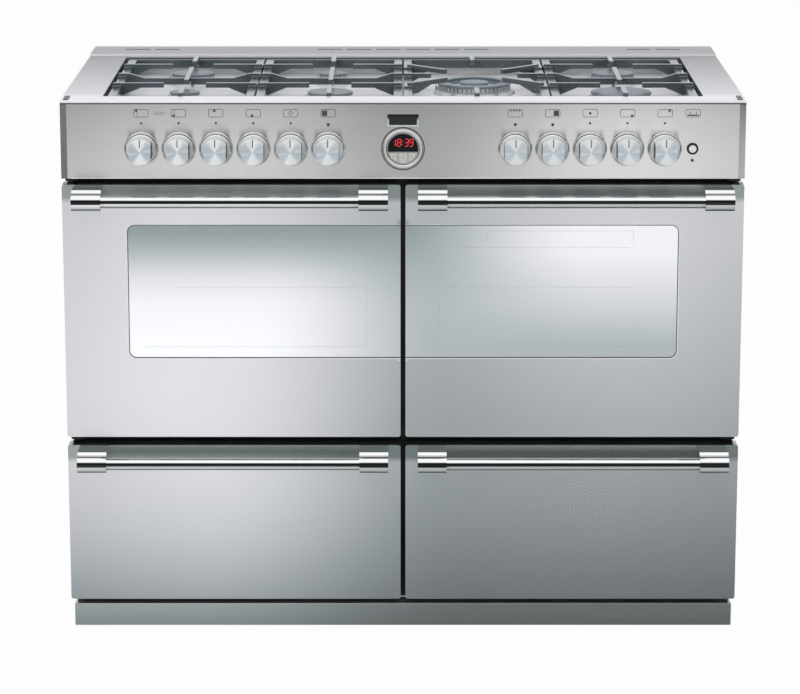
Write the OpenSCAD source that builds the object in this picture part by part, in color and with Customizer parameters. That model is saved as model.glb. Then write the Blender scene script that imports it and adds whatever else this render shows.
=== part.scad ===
// Free-standing dual fuel range cooker: a seven-burner gas hob over two
// electric ovens with side-hung doors, and two storage drawers below.
// Millimetres. X runs to the right, Y to the wall, Z up. The origin is the
// middle of the footprint at floor level, and the fronts face -Y.

/* [Overall] */
// Width across the hob, the fascia and the fronts
width = 1100; // [1060:5:1140]
// Depth from the door faces to the wall side
depth = 600; // [590:5:640]
// How far the handle bars stand out from the door faces
handle_reach = 58; // [54:1:64]
// How far each carcass side lies inside the fronts
side_inset = 5; // [3:1:8]
// Thickness of the folded sheet steel
sheet = 1.5; // [1.2:0.1:1.8]

/* [Heights from the floor up] */
// Room for the feet below the plinth
foot_h = 18; // [15:1:25]
// Height of the plinth
plinth_h = 38; // [34:1:44]
// Gap between the plinth and the drawer fronts
low_gap = 9; // [7:1:12]
// Height of a drawer front
drawer_h = 264; // [250:1:280]
// Gap between the drawer fronts and the doors
mid_gap = 14; // [13:1:18]
// Height of an oven door
door_h = 420; // [405:1:435]
// Gap between the doors and the fascia
top_gap = 10; // [9:1:14]
// Height of the fascia
fascia_h = 121; // [112:1:130]
// Height of the rolled edge of the hob
hob_lip = 6; // [5:0.5:8]

/* [Doors] */
// Gap between the two doors, and between the two drawers
centre_gap = 8; // [6:1:10]
// Thickness of a door or drawer front
front_t = 38; // [36:1:40]
// Air between the back of a door and the carcass frame
door_air = 4; // [3.5:0.5:5]
// Depth of the folded edges of a front
fold_d = 30; // [26:1:31]
// Corner radius of the fronts
corner_r = 4; // [2:0.5:6]
// Door edge to hinge axis, sideways
pivot_x = 14; // [13:0.5:16]
// Door face to hinge axis, front to back
pivot_y = 20; // [18:0.5:21]
// Diameter of a hinge pin
pin_d = 8; // [7:0.5:9]
// Height of the door above the window
window_top = 66; // [60:1:75]
// Height of the window opening
window_h = 221; // [200:1:235]
// Door edge to window opening on the hinge side
window_side = 104; // [96:1:115]
// Corner radius of the window opening
window_r = 12; // [8:1:16]
// Thickness of the outer glass
glass_t = 4; // [3:0.5:5]
// Thickness of the inner glass
inner_glass_t = 3; // [3:0.5:4]

/* [Handles] */
// Diameter of the handle bar
bar_d = 20; // [18:0.5:22]
// Diameter of the barrel on each end bracket
barrel_d = 28.5; // [26:0.5:30]
// Width of an end bracket
barrel_w = 47; // [42:1:52]
// Inset of the handle from each edge of its front
handle_inset = 20; // [16:1:30]
// Top of the front down to the bar's axis
handle_drop = 20; // [18:0.5:24]

/* [Ovens] */
// Inner width of an oven
cavity_w = 430; // [410:5:440]
// Inner height of an oven
cavity_h = 340; // [320:5:350]
// Bottom of a door up to the oven floor
cavity_rise = 32; // [28:1:40]
// Room behind the ovens for the fan motor
motor_room = 100; // [90:1:120]
// Width of the flange round an oven mouth
mouth_flange = 12; // [10:1:14]
// Diameter of the thick shelf wire
wire_d = 5; // [4:0.5:6]
// Diameter of the grill element
element_d = 8; // [6.5:0.5:9]
// Depth of the pan that covers the fan
fan_pan_d = 45; // [42:1:50]
// Diameter of the oven fan
fan_d = 130; // [110:5:150]

/* [Hob] */
// Depth of the vent trim behind the hob
trim_d = 100; // [92:1:110]
// Width of the side borders of the hob
border_side = 65; // [60:1:70]
// Width of the front border of the hob
border_front = 45; // [40:1:52]
// Width of the rear border of the hob
border_rear = 13; // [10:1:18]
// Depth of the well below the border
well_drop = 28; // [24:1:32]
// Height of the pan supports above the well floor
support_h = 33; // [30:1:37]
// Gap between the outer pan supports and the sides of the well
support_side_gap = 5; // [4:0.5:8]
// Gap between neighbouring pan supports
support_gap = 3; // [2:0.5:5]
// Thickness of a pan support finger
finger_t = 8; // [7:0.5:10]
// Clear gap between two facing finger tips
tip_gap = 69; // [60:1:80]
// Height of the vent trim above the hob
trim_rise = 4; // [2:0.5:8]
// Length of a vent slot
slot_l = 44; // [36:1:46]
// Gap between neighbouring vent slots
slot_gap = 8; // [6:1:12]

/* [Controls] */
// Distance between neighbouring knobs
knob_pitch = 60; // [58:1:64]
// Fascia top edge down to the knob axes
knob_drop = 72; // [68:1:76]
// Diameter of a knob
knob_d = 47; // [44:0.5:49]
// Width of a knob's grip across its flats
knob_grip = 35; // [32:0.5:38]
// How far a knob stands out from the fascia
knob_reach = 40; // [35:1:44]
// Outer diameter of a knob bezel
bezel_d = 55; // [53:0.5:57]
// Diameter of a knob spindle
spindle_d = 8; // [6:0.5:9]
// Outer diameter of the clock bezel
clock_d = 70; // [66:1:74]
// Diameter of the clock face
clock_face_d = 52; // [50:0.5:56]
// Middle of the clock down to its three buttons
clock_split = 5.5; // [3:0.5:9]
// Travel of a clock button
clock_travel = 1.5; // [1:0.1:2]
// Diameter of the ignition button
spark_d = 12; // [10:0.5:14]
// Travel of the ignition button
spark_travel = 3; // [2:0.2:4]

/* [Drawers] */
// Height of the drawer box
box_h = 170; // [150:5:185]
// Room between the drawer box and the back panel
box_room = 60; // [50:5:90]
// Width of a drawer runner
runner_w = 12.5; // [11:0.5:14]
// Height of a drawer runner
runner_h = 36; // [32:1:40]

/* [Hidden] */

$fn = 64;

// Running clearance of a pin or spindle in its bore
fit = 0.05;
// Air left between pieces that move past each other
clear = 0.3;
// How far a cutting shape runs past the face it cuts
over = 1;

// Depths: the front plane, the carcass frame and the wall side
back_inset = 28;
face_y = handle_reach - (depth + handle_reach) / 2;
frame_y = face_y + front_t + door_air;
wall_y = face_y + depth;
back_y = wall_y - back_inset;

// Heights
plinth_top = foot_h + plinth_h;
drawer_z = plinth_top + low_gap;
drawer_top = drawer_z + drawer_h;
door_z = drawer_top + mid_gap;
door_top = door_z + door_h;
fascia_z = door_top + top_gap;
fascia_top = fascia_z + fascia_h;
hob_z = fascia_top + hob_lip;
well_z = hob_z - well_drop;

// Widths
half = width / 2;
body_half = half - side_inset;
panel_w = (width - centre_gap) / 2;
panel_cx = (centre_gap + panel_w) / 2;
edge_x = -centre_gap / 2;

// Carcass
flange = 18;
frame_t = 2;
frame_rail = 20;
frame_top = well_z - sheet - frame_t;
inner_x = body_half - sheet - clear;

// Feet
foot_inset = 60;
foot_xs = [-(body_half - foot_inset), body_half - foot_inset];
foot_ys = [frame_y + foot_inset, back_y - foot_inset];
stem_d = 10;
tray_rail_h = 16;

// Services through the back panel
inlet_x = body_half - 65;
service_z = fascia_top - 154;
inlet_d = 21;
gland_d = 20;
tether_x = body_half - 145;
tether_z = service_z - 40;
tether_d = 8;

// Ovens
oven_z = door_z + cavity_rise;
oven_top = oven_z + cavity_h;
oven_back = back_y - motor_room;
mouth_r = 8;
seal_w = 8;
seal_in = 2;

// Side ladders and shelves
ladder_levels = [70, 150, 230];
shelf_levels = [0, 2];
ladder_x = cavity_w / 2 - wire_d / 2 - clear;
ladder_y0 = frame_y + 30;
ladder_y1 = oven_back - fan_pan_d - 12;
ladder_z = 40;
ladder_h = 250;
wires = 9;

// Grill
grill_z = oven_top - 24;
grill_runs = 6;
grill_pitch = 56;
grill_end_x = (grill_runs - 1) / 2 * grill_pitch;
grill_y0 = frame_y + 60;
grill_y1 = oven_back - 60;

// Fan
fan_z = oven_z + cavity_h / 2;
fan_pan_w = 300;
fan_pan_h = 240;
motor_d = 80;
motor_l = 50;
motor_gap = 12;

// Doors and drawer fronts
hinge_x = half - pivot_x;
hinge_y = face_y + pivot_y;
pivot_block = 16;
lip_w = 20;
pan_inset = 16;
pan_t = 2;
glass_lap = 8;
window_z1 = door_top - window_top;
window_z0 = window_z1 - window_h;
inner_x0 = -half + window_side + 66;
inner_x1 = edge_x - 56;
inner_z0 = window_z0 + 10;
inner_z1 = window_z1 - 16;
inner_r = 6;

// Drawers
runner_gap = 1;
member_w = 8;
member_h = 24;
box_w = 2 * (body_half - flange - runner_gap - runner_w - sheet - panel_cx);
box_z = drawer_z + 36;
box_back = back_y - box_room;
runner_z = box_z + 24;

// Hob
hob_back = wall_y - trim_d - clear;
well_x = half - border_side;
well_y0 = face_y + border_front;
well_y1 = hob_back - border_rear;
well_cy = (well_y0 + well_y1) / 2;
slot_w = 8;
slot_side = 58;

// Pan supports
support_pitch = (well_x - support_side_gap) / 2;
support_w = support_pitch - support_gap;
support_d = well_y1 - well_y0 - 2 * support_gap;
rail_w = 14;
rail_z = 12;
rail_h = 14;
foot_l = 24;
lug_l = 30;
lug_drop = 4;

// Burners: the support each lies under, its offset from the middle, its cap radius
ring_dy = 107;
small_r = 24;
medium_r = 36.5;
large_r = 49;
wok_r = 61;
core_r = 24;
burners = [
    [0, ring_dy, medium_r], [0, -ring_dy, small_r],
    [1, ring_dy, small_r], [1, -ring_dy, medium_r],
    [2, 0, wok_r],
    [3, ring_dy, medium_r], [3, -ring_dy, large_r]];
base_h = 6;
crown_h = 9;
crown_w = 9;
cap_t = 4;
injector_l = 34;
electrode_gap = 3;
electrode_d = 4.4;

// Controls, counted from the left
knob_slots = [-7, -6, -5, -4, -3, -2, 3, 4, 5, 6, 7];
gas_knobs = [0, 1, 2, 3, 8, 9, 10];
knob_z = fascia_top - knob_drop;
spark_x = 7.75 * knob_pitch;
spark_flange = 6;
end_cap_w = 10;
spindle_l = 52;
neon_d = 5;
neon_out = 1.2;
neon_l = 8;
neon_xs = [-2 * knob_pitch, 3 * knob_pitch, 4 * knob_pitch];
neon_z = fascia_top - 33;
spark_neon_z = knob_z - 19;
plate_w = 50;
plate_h = 19.4;
plate_t = 2.2;
plate_rim = 2.5;
plate_z = fascia_top - 16.5;
clock_out = 2;
clock_body = 6;
clock_r = clock_face_d / 2 - 0.5;
button_r = clock_face_d / 2 - 2.5;
button_half = 8;
button_out = 3.5;
button_t = 6.5;
button_line = 0.5;
screen_gap = 0.6;

// Gas rail and taps
rail_y = face_y + 74;
pipe_d = 16;
pipe_drop = 20;
tap_seat = -pipe_drop + pipe_d / 2 + clear;
tap_d = 20;
switch_w = 38;
tap_y = face_y + 14;

function support_x(i) = (i - 1.5) * support_pitch;
function is_gas(i) = len([for (g = gas_knobs) if (g == i) g]) > 0;
function stub_r(r) = r * 0.55;

// A box given by its two corners
module slab(a, b) {
    translate(a) cube(b - a);
}

// A flat drawing in X and Z, given thickness from y to y + t
module sheet_xz(y, t) {
    translate([0, y + t, 0]) rotate([90, 0, 0]) linear_extrude(t) children();
}

// A rectangle with its own radius at each corner: low left, low right,
// top right, top left
module soft_rect(x0, x1, z0, z1, r) {
    corners = [[x0, z0, 1, 1], [x1, z0, -1, 1], [x1, z1, -1, -1], [x0, z1, 1, -1]];
    difference() {
        translate([x0, z0]) square([x1 - x0, z1 - z0]);
        for (i = [0:3]) if (r[i] > 0) {
            c = corners[i];
            difference() {
                translate([c[0] - (c[2] < 0 ? r[i] : 0), c[1] - (c[3] < 0 ? r[i] : 0)])
                    square(r[i]);
                translate([c[0] + c[2] * r[i], c[1] + c[3] * r[i]]) circle(r[i]);
            }
        }
    }
}

// A rectangle with the same radius at each corner
module even_rect(x0, x1, z0, z1, r) {
    soft_rect(x0, x1, z0, z1, [r, r, r, r]);
}

// A round bar along Y from y0 to y1
module rod_y(x, z, y0, y1, d) {
    translate([x, y1, z]) rotate([90, 0, 0]) cylinder(d = d, h = y1 - y0);
}

// A round bar along X from x0 to x1
module rod_x(y, z, x0, x1, d) {
    translate([x0, y, z]) rotate([0, 90, 0]) cylinder(d = d, h = x1 - x0);
}

// A hole along Y through a sheet whose front is at y
module hole_y(x, z, y, d) {
    rod_y(x, z, y - over, y + sheet + over, d);
}

// Mirrors its children for the right-hand copy
module hand(right) {
    mirror([right ? 1 : 0, 0, 0]) children();
}

// Carcass

module side_panels() {
    z0 = foot_h;
    z1 = fascia_top - clear;
    color("silver") for (right = [false, true]) hand(right) {
        slab([-body_half, frame_y, z0], [-body_half + sheet, wall_y, z1]);
        for (y = [frame_y + frame_t, wall_y - sheet])
            slab([-body_half, y, z0], [-body_half + flange, y + sheet, z1]);
    }
}

module back_panel() {
    vent_w = 60;
    vent_h = 8;
    vent_pitch = 110;
    vent_row = 22;
    vent_z = fascia_top - 104;
    color("gainsboro") difference() {
        slab([-inner_x, back_y, plinth_top], [inner_x, back_y + sheet, fascia_top - clear]);
        for (i = [-3:3], row = [0:2]) translate([i * vent_pitch, back_y, vent_z + row * vent_row])
            slab([-vent_w / 2, -over, 0], [vent_w / 2, sheet + over, vent_h]);
        hole_y(inlet_x, service_z, back_y, inlet_d + 4);
        hole_y(-inlet_x, service_z, back_y, gland_d);
        for (s = [-1, 1]) hole_y(s * tether_x, tether_z, back_y, tether_d);
    }
}

module base_tray() {
    runner_x = inner_x - 22;
    boss_d = 30;
    boss_h = 24;
    y0 = frame_y + frame_rail;
    y1 = back_y - clear;
    z0 = plinth_top - tray_rail_h;
    color("dimgray") difference() {
        union() {
            slab([-inner_x, y0, plinth_top], [inner_x, y1, plinth_top + frame_t]);
            for (right = [false, true]) hand(right) slab([-inner_x, y0, z0], [-runner_x, y1, plinth_top]);
            for (x = foot_xs, y = foot_ys) translate([x, y, z0]) cylinder(d = boss_d, h = boss_h);
        }
        for (x = foot_xs, y = foot_ys) translate([x, y, z0 - over])
            cylinder(d = stem_d + 2 * fit, h = boss_h + 2 * over);
    }
}

module levelling_feet() {
    pad_r = 20;
    pad_h = 5;
    neck_r = 12;
    neck_h = 10;
    stem_top = plinth_top + 14;
    color("black") for (x = foot_xs, y = foot_ys) translate([x, y, 0])
        rotate_extrude() polygon([[0, 0], [pad_r, 0], [pad_r, pad_h], [neck_r, neck_h],
            [stem_d / 2, neck_h], [stem_d / 2, stem_top], [0, stem_top]]);
}

module front_frame() {
    mouth = cavity_w / 2 + sheet + clear;
    drawer_x = box_w / 2 + sheet + runner_w + 8;
    drawer_air = 14;
    rail_x = body_half - flange - frame_t;
    side_strip = 30;
    strip = 10;
    y = frame_y + frame_t;
    color("black") {
        sheet_xz(frame_y, frame_t) difference() {
            translate([-inner_x, plinth_top + clear]) square([2 * inner_x, frame_top - plinth_top - clear]);
            for (s = [-1, 1]) translate([s * panel_cx, 0]) {
                translate([-mouth, oven_z - sheet - clear])
                    square([2 * mouth, cavity_h + 2 * (sheet + clear)]);
                translate([-drawer_x, box_z - drawer_air])
                    square([2 * drawer_x, box_h + 2 * drawer_air - 2]);
            }
            translate([-inner_x + side_strip, fascia_z + strip])
                square([2 * (inner_x - side_strip), frame_top - fascia_z - 2 * strip]);
        }
        // Stiffening rails behind the sheet: between doors and drawers, at the foot and at the top
        slab([-rail_x, y, door_z - mid_gap + 1], [rail_x, frame_y + frame_rail, door_z + 6]);
        slab([-rail_x, y, plinth_top + clear],
            [rail_x, frame_y + frame_rail - clear, plinth_top + frame_rail]);
        slab([-rail_x, y, door_top - 2], [rail_x, frame_y + frame_rail, fascia_z - 2]);
    }
}

module plinth() {
    y0 = face_y + 4;
    y1 = frame_y - clear;
    lip = 14;
    side_t = 2;
    color("silver") {
        slab([-body_half, y0, foot_h], [body_half, y0 + sheet, plinth_top]);
        slab([-body_half, y0, plinth_top - sheet], [body_half, y1, plinth_top]);
        slab([-body_half, y0, foot_h], [body_half, y0 + lip, foot_h + sheet]);
        for (right = [false, true]) hand(right)
            slab([-body_half, y0, foot_h], [-body_half + side_t, y1, plinth_top]);
    }
}

// Ovens

module oven_liner() {
    x = cavity_w / 2;
    y0 = frame_y - sheet;
    color("dimgray") difference() {
        union() {
            slab([-x - sheet, y0, oven_z - sheet], [x + sheet, oven_back + sheet, oven_top + sheet]);
            sheet_xz(y0, sheet) even_rect(-x - mouth_flange, x + mouth_flange,
                oven_z - mouth_flange, oven_top + mouth_flange, mouth_r);
        }
        slab([-x, y0 - over, oven_z], [x, oven_back, oven_top]);
        children();
    }
}

module oven_left() {
    translate([-panel_cx, 0, 0]) oven_liner() {
        for (s = [-1, 1]) hole_y(s * grill_end_x, grill_z, oven_back, element_d + 2 * fit);
    }
}

module oven_right() {
    translate([panel_cx, 0, 0]) oven_liner() {
        hole_y(0, fan_z, oven_back, spindle_d + 4);
    }
}

// Side ladders and wire shelves, the same set in each oven
module ladder() {
    post_in = 20;
    for (y = [ladder_y0 + post_in, ladder_y1 - post_in])
        translate([ladder_x, y, oven_z + ladder_z]) cylinder(d = wire_d, h = ladder_h);
    for (level = ladder_levels)
        rod_y(ladder_x - 0.88 * wire_d, oven_z + level, ladder_y0, ladder_y1, wire_d);
}

module shelf(level) {
    z = oven_z + level + wire_d + clear;
    x = ladder_x - 1.3 * wire_d;
    y0 = ladder_y0 + wire_d;
    y1 = ladder_y1 - wire_d;
    for (s = [-1, 1]) rod_y(s * x, z, y0, y1, wire_d, $fn = 8);
    for (y = [y0 + wire_d / 2, (y0 + y1) / 2, y1 - wire_d / 2]) rod_x(y, z, -x, x, 0.8 * wire_d, $fn = 8);
    for (i = [1:wires])
        rod_y(-x + i * 2 * x / (wires + 1), z + 0.4 * wire_d, y0 + over, y1 - over, 0.6 * wire_d, $fn = 6);
}

module oven_racks() {
    color("silver") for (s = [-1, 1]) translate([s * panel_cx, 0, 0]) {
        for (right = [false, true]) hand(right) ladder();
        for (i = shelf_levels) shelf(ladder_levels[i]);
    }
}

// A grill element bent to and fro below the oven roof
module grill_bend(x, y, turn) {
    translate([x, y, grill_z]) rotate([0, 0, turn]) rotate_extrude(angle = 180)
        translate([grill_pitch / 2, 0]) circle(d = element_d, $fn = 32);
}

module grill_element() {
    hanger_w = 12;
    hanger_t = 2;
    tail = 20;
    color("dimgray") translate([-panel_cx, 0, 0]) {
        for (i = [0:grill_runs - 1]) {
            x = -grill_end_x + i * grill_pitch;
            last = i == 0 || i == grill_runs - 1;
            rod_y(x, grill_z, grill_y0, last ? oven_back + tail : grill_y1, element_d);
            if (i < grill_runs - 1 && i % 2 == 0) grill_bend(x + grill_pitch / 2, grill_y0, 180);
            if (i < grill_runs - 1 && i % 2 == 1) grill_bend(x + grill_pitch / 2, grill_y1, 0);
        }
        // Hangers that carry the front bends from the roof
        for (i = [0:2:grill_runs - 2])
            translate([-grill_end_x + (i + 0.5) * grill_pitch, grill_y0 - grill_pitch / 2, 0])
                slab([-hanger_w / 2, -hanger_t / 2, grill_z], [hanger_w / 2, hanger_t / 2, oven_top]);
    }
}

// The pan over the fan, its motor behind the oven and the bracket that carries both
module fan_housing() {
    y0 = oven_back - fan_pan_d;
    x = fan_pan_w / 2;
    h = fan_pan_h / 2;
    hole_d = 14;
    louvre_h = 10;
    louvre_pitch = 28;
    bracket_x = 70;
    bracket_h = 16;
    bearing_y = oven_back + 40;
    color("gray") translate([panel_cx, 0, fan_z]) {
        difference() {
            slab([-x, y0, -h], [x, oven_back, h]);
            slab([-x + sheet, y0 + sheet, -h + sheet], [x - sheet, oven_back + over, h - sheet]);
            for (a = [0:45:315]) rotate([0, a, 0]) for (r = [34, 54]) hole_y(0, r, y0, hole_d);
            for (s = [-1, 1], i = [-3:3]) translate([s * x, y0, i * louvre_pitch])
                slab([-4, 12, -louvre_h / 2], [4, 34, louvre_h / 2]);
        }
        difference() {
            union() {
                rod_y(0, 0, oven_back + motor_gap, oven_back + motor_gap + motor_l, motor_d);
                slab([-bracket_x, oven_back + sheet, -bracket_h / 2],
                    [bracket_x, oven_back + motor_gap + frame_t, bracket_h / 2]);
            }
            rod_y(0, 0, oven_back - over, bearing_y, spindle_d + 2 * fit);
        }
    }
}

module oven_fan() {
    y0 = oven_back - fan_pan_d + 10;
    plate_y = y0 + 22;
    hub_d = 26;
    blade_l = 24;
    blade_t = 1.5;
    blade_pitch = 24;
    color("silver") translate([panel_cx, 0, fan_z]) {
        rod_y(0, 0, plate_y, plate_y + frame_t, fan_d);
        rod_y(0, 0, y0 + 6, plate_y + frame_t, hub_d);
        rod_y(0, 0, plate_y, oven_back + 38, spindle_d);
        for (a = [0:30:330]) rotate([0, a, 0]) translate([fan_d / 2 - blade_l - 2, 0, 0])
            rotate([0, blade_pitch, 0]) slab([0, y0, -blade_t / 2], [blade_l, plate_y + 1, blade_t / 2]);
    }
}

module door_seals() {
    y1 = frame_y - sheet;
    y0 = face_y + front_t + clear;
    x = cavity_w / 2 + mouth_flange - seal_in;
    z0 = oven_z - mouth_flange + seal_in;
    z1 = oven_top + mouth_flange - seal_in;
    color("darkslategray") for (s = [-1, 1]) translate([s * panel_cx, 0, 0])
        sheet_xz(y0, y1 - y0) difference() {
            even_rect(-x, x, z0, z1, mouth_r);
            even_rect(-x + seal_w, x - seal_w, z0 + seal_w, z1 - seal_w, mouth_r / 2);
        }
}

// Doors and drawer fronts. Each is drawn on the left, where its outer edge is at the left.

module front_outline(z0, z1, inset) {
    even_rect(-half + inset, edge_x - inset, z0 + inset, z1 - inset, max(corner_r - inset, 0.5));
}

// The folded edge of a front and the lip that turns in behind it
module folded_edge(z0, z1) {
    sheet_xz(face_y, fold_d) difference() {
        front_outline(z0, z1, 0);
        front_outline(z0, z1, sheet);
    }
    sheet_xz(face_y + fold_d - sheet, sheet) difference() {
        front_outline(z0, z1, 0);
        front_outline(z0, z1, lip_w);
    }
}

module door_panel(right) {
    color("lightgray") hand(right) difference() {
        union() {
            sheet_xz(face_y, sheet) difference() {
                front_outline(door_z, door_top, 0);
                soft_rect(-half + window_side, edge_x + 10, window_z0, window_z1, [window_r, 0, 0, window_r]);
            }
            folded_edge(door_z, door_top);
            for (z = [door_z, door_top - pivot_block])
                slab([-half + 0.5, hinge_y - 11, z],
                    [-hinge_x + 12, face_y + fold_d - 0.5, z + pivot_block]);
        }
        // The glass runs out to the meeting edge
        slab([edge_x - 5, face_y - over, window_z0 - glass_lap - clear],
            [edge_x + over, face_y + sheet + glass_t + clear, window_z1 + glass_lap + clear]);
        for (z = [door_z - over, door_top - pivot_block + over]) translate([-hinge_x, hinge_y, z])
            cylinder(d = pin_d + 2 * fit, h = pivot_block);
    }
}

module door_glass(right) {
    color([0.35, 0.4, 0.42, 0.6]) hand(right) {
        sheet_xz(face_y + sheet, glass_t) soft_rect(-half + window_side - glass_lap, edge_x - 0.5,
            window_z0 - glass_lap, window_z1 + glass_lap, [window_r, 0, 0, window_r]);
        sheet_xz(face_y + front_t - pan_t - inner_glass_t, inner_glass_t) even_rect(inner_x0 - glass_lap,
            inner_x1 + glass_lap, inner_z0 - glass_lap, inner_z1 + glass_lap, inner_r);
    }
}

module door_pan(right) {
    y = face_y + fold_d;
    color("dimgray") hand(right) difference() {
        sheet_xz(y, front_t - fold_d) front_outline(door_z, door_top, pan_inset);
        sheet_xz(y - over, front_t - fold_d - pan_t + over)
            front_outline(door_z, door_top, pan_inset + pan_t);
        sheet_xz(y - over, front_t) even_rect(inner_x0, inner_x1, inner_z0, inner_z1, inner_r);
    }
}

// Hinge brackets on the carcass, with the pins that the doors turn on
module door_pivots() {
    bracket_t = 3;
    engage = 12;
    low = 7;
    high = 4;
    arm_y = hinge_y - pin_d;
    arm_x = -hinge_x + 12;
    foot_x = -hinge_x + 30;
    color("dimgray") for (right = [false, true]) hand(right) {
        for (z = [door_z - low, door_top + high])
            slab([-body_half, arm_y, z], [arm_x, frame_y, z + bracket_t]);
        translate([-hinge_x, hinge_y, door_z - low]) cylinder(d = pin_d, h = low + engage);
        translate([-hinge_x, hinge_y, door_z - low]) cylinder(d = pin_d + 6, h = low - clear);
        translate([-hinge_x, hinge_y, door_top - engage]) cylinder(d = pin_d, h = engage + high + bracket_t);
        for (p = [[door_z - 12, 10], [door_top + 1.5, 7]])
            slab([-body_half, frame_y - frame_t, p[0]], [foot_x, frame_y, p[0] + p[1]]);
    }
}

// Handles: a round bar between two brackets, each a barrel with an arm that
// reaches back to the front just below its top edge
module handle(top_z, right) {
    z = top_z - handle_drop;
    y = face_y - handle_reach + barrel_d / 2;
    x0 = -half + handle_inset;
    x1 = edge_x - handle_inset;
    arm_top = handle_drop - 1.5;
    color("gainsboro") hand(right) {
        rod_x(y, z, x0 + barrel_w - 0.5, x1 - barrel_w + 0.5, bar_d);
        for (x = [x0, x1 - barrel_w]) translate([x, 0, z]) {
            rod_x(y, 0, 0, barrel_w, barrel_d);
            rotate([90, 0, 90]) linear_extrude(barrel_w)
                polygon([[face_y, -6], [face_y, arm_top], [y + 4, arm_top], [y - 1, barrel_d / 2 - 1],
                    [y, 0], [y + 6, -barrel_d / 4]]);
        }
    }
}

// Drawers

module drawer_front(right) {
    color("gray") hand(right) {
        sheet_xz(face_y, sheet) front_outline(drawer_z, drawer_top, 0);
        folded_edge(drawer_z, drawer_top);
    }
}

module drawer_box(right) {
    x = box_w / 2;
    y0 = face_y + fold_d;
    plate_in = 16;
    member_z = box_z + 30;
    color("gray") hand(right) translate([-panel_cx, 0, 0]) {
        difference() {
            slab([-x - sheet, y0, box_z], [x + sheet, box_back, box_z + box_h]);
            slab([-x, y0 + 2 * sheet, box_z + sheet], [x, box_back - sheet, box_z + box_h + over]);
        }
        // Backing plate that the front is screwed to
        slab([-panel_w / 2 + plate_in, y0, drawer_z + 10],
            [panel_w / 2 - plate_in, y0 + sheet, drawer_top - 40]);
        // Sliding member of each runner
        for (side = [false, true]) hand(side) slab([x + sheet, frame_y + frame_t, member_z],
            [x + sheet + member_w, box_back, member_z + member_h]);
    }
}

module drawer_runners() {
    x = box_w / 2 + sheet;
    y0 = frame_y + frame_t;
    side_air = 1.5;
    lip_air = (runner_h - member_h) / 2 - clear;
    strut_t = 4;
    strut_l = 30;
    strut_x = x + runner_w - strut_t;
    color("silver") for (c = [-panel_cx, panel_cx], side = [false, true]) translate([c, 0, 0]) hand(side)
        difference() {
            union() {
                slab([x + side_air, y0, runner_z], [x + runner_w, box_back, runner_z + runner_h]);
                // Struts that carry the runner from the base tray
                for (y = [y0 + strut_l, box_back - 2 * strut_l])
                    slab([strut_x, y, plinth_top + frame_t], [strut_x + strut_t, y + strut_l, runner_z + 6]);
            }
            slab([x - side_air, y0 - over, runner_z + lip_air],
                [x + member_w + 0.5, box_back + over, runner_z + runner_h - lip_air]);
        }
}

// Hob

// The hob's outer form with its rounded front edge, or the hollow under it
module hob_form(inset, back, low) {
    nose_r = hob_lip / 2;
    x = half - inset;
    rod_x(face_y + nose_r, hob_z - nose_r, -x, x, 2 * (nose_r - inset));
    slab([-x, face_y + inset, low], [x, back, hob_z - nose_r]);
    slab([-x, face_y + nose_r, low], [x, back, hob_z - inset]);
}

module hob_top() {
    color("gainsboro") difference() {
        union() {
            difference() {
                hob_form(0, hob_back, hob_z - hob_lip);
                hob_form(sheet, hob_back + over, hob_z - hob_lip - over);
            }
            slab([-well_x - sheet, well_y0 - sheet, well_z - sheet],
                [well_x + sheet, well_y1 + sheet, hob_z]);
        }
        slab([-well_x, well_y0, well_z], [well_x, well_y1, hob_z + over]);
        for (b = burners) translate([support_x(b[0]), well_cy + b[1], well_z - sheet - over])
            cylinder(r = stub_r(b[2]) + 1, h = sheet + 2 * over);
    }
}

module vent_trim() {
    y0 = wall_y - trim_d;
    top = hob_z + trim_rise;
    step = slot_l + slot_gap;
    slots = concat([for (i = [0:1]) -half + slot_side + i * step],
        [for (i = [-3:2]) slot_gap / 2 + i * step],
        [for (i = [0:1]) half - slot_side - slot_l - i * step]);
    color("silver") difference() {
        slab([-half, y0, fascia_top], [half, wall_y, top]);
        slab([-half + sheet, y0 + sheet, fascia_top - over], [half - sheet, wall_y - sheet, top - sheet]);
        for (x = slots)
            slab([x, y0 + slot_side, hob_z], [x + slot_l, y0 + slot_side + slot_w, top + over]);
    }
}

module burner_bases() {
    color("lightgray") for (b = burners) translate([support_x(b[0]), well_cy + b[1], well_z]) {
        stub = stub_r(b[2]) - 2;
        difference() {
            rotate_extrude() polygon([[0, -injector_l], [stub - 4, -injector_l], [stub, 4 - injector_l],
                [stub, 0], [b[2] + 8, 0], [b[2] + 2, base_h], [0, base_h]]);
            translate([0, 0, -4]) cylinder(r = stub - 3, h = base_h + 5);
            translate([-b[2] - electrode_gap, 0, -over])
                cylinder(d = electrode_d + 0.6, h = base_h + 2 * over);
        }
    }
    // Spark electrodes, a ceramic pin through the flange of each base
    color("white") for (b = burners)
        translate([support_x(b[0]) - b[2] - electrode_gap, well_cy + b[1], well_z + 0.2]) {
            cylinder(d = electrode_d, h = base_h + 4);
            cylinder(d = 2, h = base_h + 7);
        }
}

// A slotted aluminium crown; the wok burner has an outer ring and a core
module crown(r) {
    notches = round(r * 0.8);
    notch_w = 1.8;
    notch_z = 3;
    difference() {
        rotate_extrude()
            polygon([[r - crown_w, 0], [r - 1, 0], [r, 2], [r, crown_h], [r - crown_w, crown_h]]);
        for (i = [0:notches - 1]) rotate([0, 0, i * 360 / notches])
            translate([r - 5, -notch_w / 2, notch_z]) cube([crown_w, notch_w, crown_h]);
    }
}

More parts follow.
